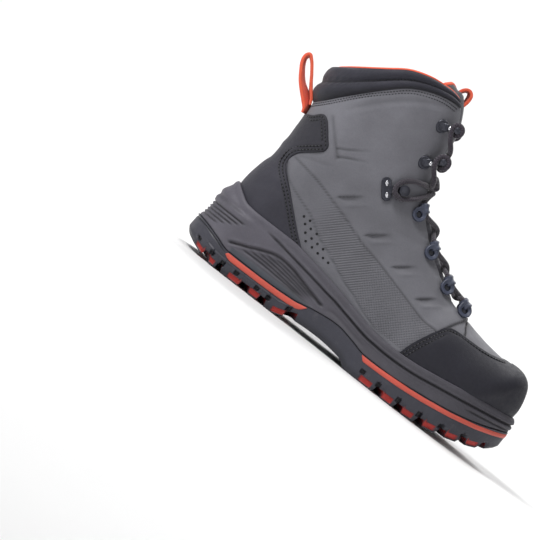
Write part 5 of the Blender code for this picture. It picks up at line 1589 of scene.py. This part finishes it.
def flat_arm(bag, points, widths, thick, normal):
    """A flat metal arm with rounded edges through the points."""
    p, run = spline(points, 0.9)
    t = np.gradient(p, axis=0)
    t /= np.linalg.norm(t, axis=1)[:, None]
    w = np.interp(run, np.linspace(0, run[-1], len(widths)), widths)
    n = normal - t * (t @ normal)[:, None]
    n /= np.linalg.norm(n, axis=1)[:, None]
    b = np.cross(t, n)
    prof = [(-1, 0), (-0.9, 0.7), (-0.7, 1), (0, 1.1), (0.7, 1), (0.9, 0.7), (1, 0), (0.9, -0.7), (0.7, -1), (0, -1.1), (-0.7, -1), (-0.9, -0.7)]
    v = np.stack([p + b * (a * w / 2)[:, None] + n * (c * thick / 2) for a, c in prof], axis=1)
    m, k = len(prof), len(p)
    i = np.arange(k * m).reshape(k, m)
    j = np.roll(i, -1, 1)
    f = np.stack([i[:-1], j[:-1], j[1:], i[1:]], axis=-1).reshape(-1, 4).tolist()
    f += [list(range(m))[::-1], [(k - 1) * m + q for q in range(m)]]
    bag.add(v.reshape(-1, 3), f)


BASE_DISC = [(7.4, -4.5), (7.2, 0.0), (7.1, 1.2), (6.7, 2.0), (6.0, 2.4), (5.2, 2.4), (4.9, 2.0), (4.2, 2.0), (3.8, 2.6), (1.2, 2.9)]
RIVET = [(2.3, 0.0), (2.3, 0.7), (2.0, 1.3), (1.4, 1.7), (0.7, 1.9)]
END_DISC = [(1.8, -0.6), (1.9, 3.2), (2.6, 4.0), (3.3, 4.4), (3.5, 5.0), (3.3, 5.7), (2.4, 6.2), (0.8, 6.4)]


def make_hooks(dark_metal, silver):
    body, rivets = Bag(), Bag()
    for side in (-1, 1):
        face = np.array([0, side, 0.0])
        for name, base, rivet, end in HOOKS:
            p, n, q = hook_end(base, end, side)
            n = unit(n + 1.3 * face)
            p = p + n * 0.8
            up = unit(np.cross(n, [1.0, 0, 0.4]))
            turned(body, p, n, unit(np.cross(n, up)), BASE_DISC)
            mid = p * 0.45 + q * 0.55 + face * 0.6
            flat_arm(body, [p + n * 1.6, p * 0.75 + q * 0.25 + n * 2.6, mid, q + face * 0.2, q + unit(q - p) * 3.4 + face * 0.6], [8.6, 7.6, 5.6, 6.0, 4.6], 1.7, face)
            turned(body, q, face, np.array([1.0, 0, 0]), END_DISC)
            r, m = on_form(*rivet, side)
            spot = p + (np.array([rivet[0], 0, rivet[1]]) - np.array([base[0], 0, base[1]]))
            turned(rivets, np.array([spot[0], p[1], spot[2]]) + n * 3.0, n, unit(np.cross(n, [0, 0, 1.0])), RIVET, sides=20)
        p, n = on_form(*LOCK_MID, side)
        way = unit(np.array([LOCK_WAY[0], 0, LOCK_WAY[1]]))
        way = unit(way - n * (way @ n))
        cross = np.cross(n, way)
        a = np.linspace(0, 2 * math.pi, 48, endpoint=False)
        rings = []
        for r, h in ((1.0, -0.6), (1.02, 0.9), (0.95, 1.9), (0.84, 2.2), (0.2, 2.3)):
            stadium = np.outer(np.cos(a) * 5.2 * r + np.sign(np.cos(a)) * 6.6 * min(1, r), way) + np.outer(np.sin(a) * 5.2 * r, cross)
            rings.append(p + n * h + stadium)
        f = [[k * 48 + i, k * 48 + (i + 1) % 48, (k + 1) * 48 + (i + 1) % 48, (k + 1) * 48 + i] for k in range(4) for i in range(48)]
        f += [list(range(48))[::-1], [4 * 48 + i for i in range(48)]]
        body.add(np.vstack(rings), f if side == 1 else [q[::-1] for q in f])
        for s in (-1, 1):
            turned(rivets, p + way * 5.8 * s + n * 2.1, n, way, [(1.7, 0.0), (1.7, 0.6), (1.4, 1.1), (0.8, 1.4)], sides=20, stretch=1.75)
        e, m = on_form(*LOCK_END, side)
        flat_arm(body, [p + n * 1.6 + 1.5 * (e - p) / 14, p * 0.6 + e * 0.4 + m * 2.4, e + m * 1.6, e + unit(e - p) * 4 + m * 1.6], [9, 7.5, 6.5, 5], 1.7, m)
        turned(body, e + m * 1.2, m, way, [(2.0, -0.6), (2.1, 4.2), (3.4, 4.9), (5.3, 5.3), (5.8, 6.0), (5.6, 6.9), (4.6, 7.4), (1.5, 7.6)])
    names = [f"{n}_{t}" for n in ("hook_1", "hook_2", "lock_hook") for t in ("lateral", "medial")]
    piece("lace_hooks", body, dark_metal, sharp=40, node=names)
    piece("hook_rivets", rivets, silver, sharp=60)


def lace_run(first):
    """One lace from the middle of the lowest bar up to its top hook. first is the side of its lowest loop."""
    share_of = {n: front_path.share_near(x, z) for n, x, z, _ in LOOPS}

    def over(share, y, lift):
        return front_points(np.array([share]), np.array([float(y)]), np.array([-float(lift)]))[0]

    pts = [over(share_of["loop_1"] + 0.016, 0.0, 3.4)]
    side = first
    for k, (name, x, z, reach) in enumerate(LOOPS):
        c, way = loop_tunnel(x, z, reach, side)
        pts += [c - way * 5.4 - np.array([0, side * 1.2, 0]), c, c + way * 5.4 - np.array([0, side * 1.2, 0])]
        up_share = front_path.share_near(*(LOOPS[k + 1][1:3] if k < 3 else (132, 212)))
        mid = (share_of[name] + up_share) / 2 - (0.004 if k < 3 else 0.0)
        lift = (6.4, 6.4, 6.4, 1.6)[k] if (first == 1) == (k % 2 == 0) else (2.0, 2.0, 2.0, -2.6)[k]
        pts.append(over(mid, 0.0, lift))
        side = -side
    # round the locking hook on this side
    e, m = on_form(*LOCK_END, side)

    def by_lock(x, z, level):
        a, b = on_form(x, z, side, level)
        return a

    g = float(throat_gap(front_path.share_near(143, 195)))
    gate = np.array([143.1, side * (g - 1.0), 196.7])
    pts += [
        gate + np.array([0.5, 0, -2.5]),
        by_lock(136.0, 184.5, 4.0), by_lock(127.5, 175.0, 4.4), by_lock(119.0, 170.0, 4.9), by_lock(111.6, 171.6, 5.1), by_lock(109.2, 177.6, 5.1),
        by_lock(111.2, 185.2, 4.9), by_lock(117.6, 191.2, 4.4), by_lock(127.4, 195.2, 4.0), by_lock(136.9, 197.7, 4.2),
        np.array([143.9, side * (g - 2.5), 201.6]),
    ]
    pts.append(over(front_path.share_near(136, 209), 0.0, 1.2 if first == 1 else -2.9))
    side = -side
    # hooks
    _, _, q1 = hook_end(HOOKS[0][1], HOOKS[0][3], side)
    _, _, q2 = hook_end(HOOKS[1][1], HOOKS[1][3], side)
    y, y2 = q1[1] + side * 3.4, q2[1] + side * 3.4
    pts += [np.array([x, v, z]) for x, z, v in (
        (138.6, 200.5, y - side * 12), (136.0, 206.6, y - side * 4.0), (130.8, 212.8, y - side * 0.3), (127.2, 218.4, y + side * 0.8), (126.3, 224.8, y + side * 0.8), (128.6, 229.7, y + side * 0.6),
        (132.9, 231.4, y + side * 0.4), (137.2, 229.2, y), (138.6, 225.4, y - side * 0.3), (137.4, 221.6, y - side * 1.4), (134.2, 219.8, y - side * 4.2), (131.2, 222.4, y - side * 7.0),
        (131.6, 228.4, y - side * 6.8), (132.8, 234.8, y - side * 4.2),
        (130.4, 240.5, (y + y2) / 2 - side * 1.2), (125.2, 246.6, y2 - side * 0.6), (120.6, 253.6, y2 + side * 0.4), (119.2, 258.6, y2 + side * 0.6), (120.8, 262.9, y2 + side * 0.5), (124.6, 264.3, y2 + side * 0.3),
        (128.3, 262.3, y2), (129.4, 258.4, y2 - side * 0.6), (127.4, 254.6, y2 - side * 2.4), (123.6, 254.0, y2 - side * 4.6), (120.8, 257.0, y2 - side * 6.4),
    )]
    return pts


def make_lace(finish):
    bag = Bag()
    for first in (-1, 1):
        tube(bag, lace_run(first), mm(1e3 * LACE_RADIUS) * 1.04, sides=14, gap=0.95)
    piece("lace", bag, finish, node=[f"lace_crossing_{k}" for k in range(1, 6)])


# ---------------------------------------------------------------- outsole
CHANNELS = [(-8, 9), (9, 7), (41, 12), (63, 9), (95, 12), (206, 9), (231, 9), (256, 9), (281, 9), (306, 9), (330, 8)]
CHANNEL_SWEEP = 0.22
LUG_DEPTH = 7.2
# red patches between the lugs and recesses over them, coloured darker as painted shade, on the side wall: x from, x to,
# height above the tread from, to
RED_GAPS = [(-14, -3, 1.6, 5.2), (4.5, 13, 2.0, 6.4), (31, 49, 1.8, 6.6), (57, 68.5, 2.2, 7.4), (86, 104, 1.6, 6.8), (197, 211, 1.8, 7.0), (221, 237, 1.8, 7.4), (247, 262, 1.8, 7.2), (273, 287, 1.8, 7.0), (298, 311, 1.8, 6.8), (322, 333, 1.8, 6.4)]
SHADED_RECESSES = [(-18, -12.5, 6.4, 9.6), (2.6, 7.6, 7.6, 12), (17.5, 22.5, 6.5, 11.5), (34.5, 39.5, 7.6, 12), (59.6, 64.6, 8.4, 12.4), (74.5, 79.5, 7.4, 12), (97.5, 102.5, 7.6, 12), (194, 199, 8, 12.4), (214, 219, 7, 12), (239, 244, 7, 12), (264, 269, 7, 12), (289, 294, 7, 11.6), (313, 318, 6.4, 11)]


def box_share(a, a0, a1, soft=0.7):
    return step(a0 - soft, a0 + soft, a) * (1 - step(a1 - soft, a1 + soft, a))


def tread_gap(x, y):
    """1 in the channels of the tread, 0 on the lugs."""
    t = y - smooth(PLAN, x, 2)
    half = smooth(PLAN, x, 1)
    m = np.zeros(x.shape)
    for at, wide in CHANNELS:
        m = np.maximum(m, 1 - step(wide / 2 - 0.7, wide / 2 + 0.7, np.abs(x - at - CHANNEL_SWEEP * np.abs(t))))
    for x0, x1 in ((-14, 100), (198, 336)):
        m = np.maximum(m, box_share(x, x0, x1) * (1 - step(2.9, 4.2, np.abs(np.abs(t) - 0.36 * half))))
    # a rib along the middle closes the channels to the light
    return m * step(2.4, 3.8, np.abs(t))


def make_outsole(finish):
    q = fractions(50, 330, 80)
    wall_t = np.concatenate([[0, 0.02, 0.05], np.linspace(0.09, 0.93, 34), [0.96, 0.98, 0.99, 1.0]])
    across = np.linspace(0, 1, 58) ** 0.9
    bag = Bag()
    for side in (-1, 1):
        def place(t, shrink=0.0):
            x0, x1 = np.interp(t, [0, 0.2, 1], [-30.5, -33, -32]), np.interp(t, [0, 0.2, 1], [351, 353.6, 353.8])
            margin = 5.4 + 2.0 * np.sqrt(np.clip(t / 0.2, 0, 1)) - 0.4 * step(0.2, 1, t)
            x = x0 + (x1 - x0) * q
            flat = sole_point(x, side, margin, np.zeros_like(x), x0, x1)
            return x, flat

        rows, dark, red = [], [], []
        x, edge = place(0.0)
        low = tread(x) + LUG_DEPTH * tread_gap(x, edge[:, 1])
        for t in wall_t:
            x, p = place(t)
            z = low + (parting(x) - 0.36 - low) * t
            p[:, 2] = z
            n = np.gradient(p[:, :2], axis=0)
            n = np.stack([n[:, 1], -n[:, 0]], axis=1)
            n /= np.maximum(np.linalg.norm(n, axis=1, keepdims=True), 1e-6)
            n *= -np.sign(n[len(n) // 2, 1]) * -side
            up = z - tread(x)
            r, d, h = np.zeros_like(x), np.zeros_like(x), np.zeros_like(x)
            for a, b, c, e in RED_GAPS:
                m = box_share(x, a, b) * box_share(up, c, e, 0.5)
                r, h = np.maximum(r, m), np.minimum(h, -1.7 * m)
            for a, b, c, e in SHADED_RECESSES:
                m = box_share(x, a, b, 0.5) * box_share(up, c, e, 0.5)
                d, h = np.maximum(d, m), np.minimum(h, -2.6 * m)
            # painted shade low on the wall, near the tread
            d = np.maximum(d, 0.42 * (1 - step(3.0, 9.0, up)) * (1 - r))
            # thin ledge over the lugs, and the shadow line under the midsole
            ledge = parting(x) - z
            h = h + 0.45 * np.exp(-(((up - 13.4) / 0.7) ** 2)) * box_share(x, -6, 108, 6) - 0.35 * np.exp(-(((up - 15.0) / 0.9) ** 2)) * box_share(x, -6, 108, 6)
            h = h - 0.9 * np.exp(-(((ledge - 2.6) / 0.8) ** 2)) * (1 - step(6, 22, x)) + 0.5 * np.exp(-(((ledge - 0.9) / 0.8) ** 2)) * (1 - step(6, 22, x))
            d = np.maximum(d, 0.75 * np.exp(-(((ledge - 2.6) / 0.9) ** 2)) * (1 - step(6, 22, x)))
            p[:, :2] += n * h[:, None]
            rows.append(p)
            dark.append(d)
            red.append(r)
        bottom, bd, br = [], [], []
        x, edge = place(0.0)
        mid = smooth(PLAN, x, 2)
        for a in across:
            y = mid + (edge[:, 1] - mid) * a
            m = tread_gap(x, y)
            t = np.abs(y - mid)
            sipe = (1 - step(0.35, 0.75, np.abs(np.mod(x - CHANNEL_SWEEP * t, 12.5) - 6.2))) * (1 - m) * box_share(a, 0.2, 0.92, 0.04) * (box_share(x, -18, 104, 2) + box_share(x, 196, 338, 2))
            bottom.append(np.stack([x, y, tread(x) + LUG_DEPTH * m + 1.1 * sipe], axis=-1))
            # painted shade in the sipes
            bd.append(0.3 * sipe)
            br.append(np.clip((m - 0.55) / 0.3, 0, 1) * (box_share(x, -30, 112, 2) + box_share(x, 190, 345, 2)))
        lid = []
        x, top = place(1.0)
        for a in (0.97, 0.6, 0.0):
            lid.append(np.stack([x, mid + (top[:, 1] - mid) * a, parting(x) - 0.36], axis=-1))
        whole = np.array(bottom[:-1] + rows + lid)
        pad = lambda low_part, wall_part: np.concatenate([np.array(low_part[:-1]), np.array(wall_part), np.zeros((3, len(x)))])
        bag.add(whole.reshape(-1, 3), grid_faces(*whole.shape[:2], side == 1), dark=pad(bd, dark).ravel(), red=pad(br, red).ravel())
    piece("outsole_rubber", bag, finish, weld=True, sharp=55, node="outsole")


# ---------------------------------------------------------------- assembly
upper_skin = make_synthetic("upper_synthetic", GREY, band=True)
overlay_skin = make_synthetic("overlay_synthetic", DARK, grain=1900, rough=0.66, fine=0.00012, nap=0.08)
cap_skin = make_synthetic("cap_synthetic", CAP, grain=2100, rough=0.60, fine=0.00010, nap=0.02)
foam = make_rubber("midsole_foam", FOAM, 0.60, 1000, 0.10, masks=(("blue", BLUE_RUBBER),))
rubber = make_rubber("outsole_rubber", RUBBER, 0.52, 800, 0.16, masks=(("red", RED),))
stripe_rubber = make_rubber("stripe_rubber", STRIPE, 0.50, 900, 0.04)
lining_cloth = make_cloth("lining_cloth", (0.060, 0.058, 0.068), 1300)
# near-black finish for perforations and stitch holes: painted shade
hole_shade = make_moulded("hole_shade", (0.006, 0.006, 0.007), 0.9, coat=0.0, wear=0.0)

collar_cloth = make_cloth("collar_cloth", (0.0245, 0.024, 0.0345), 1900, rough=0.62, nap=0.12, depth=0.00010, tint=1.10, inner=(0.60, 0.085, 0.040))
tongue_cloth = make_cloth("tongue_cloth", (0.090, 0.089, 0.103), 1500, rough=0.8, tint=1.14, inner=(0.60, 0.085, 0.040))
webbing = make_webbing("orange_webbing", ORANGE)
piping_cloth = make_cloth("orange_piping", ORANGE, 2400, rough=0.7, nap=0.15, depth=0.00008, tint=1.08)
braid = make_braid("lace_braid", LACE)
navy = make_moulded("navy_plastic", NAVY, 0.44)
dark_metal = make_moulded("dark_metal", (0.027, 0.028, 0.040), 0.36, metal=0.55, coat=0.3)
silver = make_moulded("silver_rivets", STEEL, 0.22, metal=1.0, coat=0.0, wear=0.1)
thread = make_braid("dark_thread", (0.022, 0.021, 0.028))
grey_thread = make_braid("grey_thread", (0.046, 0.046, 0.055))

make_upper(upper_skin, lining_cloth)
make_holes(hole_shade)
make_cap(cap_skin)
make_counter(overlay_skin)
make_midsole(foam)
make_stripes(stripe_rubber)
make_outsole(rubber)
make_collar(collar_cloth, piping_cloth, thread)
make_tongue(tongue_cloth, piping_cloth, thread)
make_ribbon("heel_pull_loop", HEEL_LOOP, mm(15), 3.4, webbing, "pull_loop_heel")
make_ribbon("tongue_pull_loop", TONGUE_LOOP, mm(11), 3.0, webbing, "pull_loop_tongue")
make_loops(navy, make_moulded("loop_shade", (0.012, 0.013, 0.020), 0.6, coat=0.0))
make_hooks(dark_metal, silver)
make_lace(braid)

pits = Bag()
seams = Bag()
for side in (-1, 1):
    way = Path([(250.8, 113.2), (252.5, 109), (255.5, 104), (257, 100.5)], 10).p[:, :2]
    tube(seams, surface(way[:, 0], way[:, 1], side, 0.15), 0.6, sides=8, gap=0.8, taper=1)
piece("vamp_seam", seams, thread)
seams = Bag()
for drop in (3.1, 6.3):
    stitch_form(seams, [(a, b - drop) for a, b in SEAM_LINE], 0.0, pitch=3.1, length=2.0, radius=0.6, lift=0.05)
piece("seam_stitches", seams, thread)
seams = Bag()
for line in COUNTER_STITCHES:
    stitch_form(seams, line, 1.42, pits=pits)
piece("counter_stitches", seams, grey_thread)
seams = Bag()
for line in CAP_STITCHES:
    stitch_form(seams, line, 1.42, pits=pits)
piece("cap_stitches", seams, grey_thread)
# near-black pits at the stitch holes: painted shade
piece("stitch_pits", pits, hole_shade)
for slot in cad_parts["insole"].material_slots:
    slot.material = lining_cloth
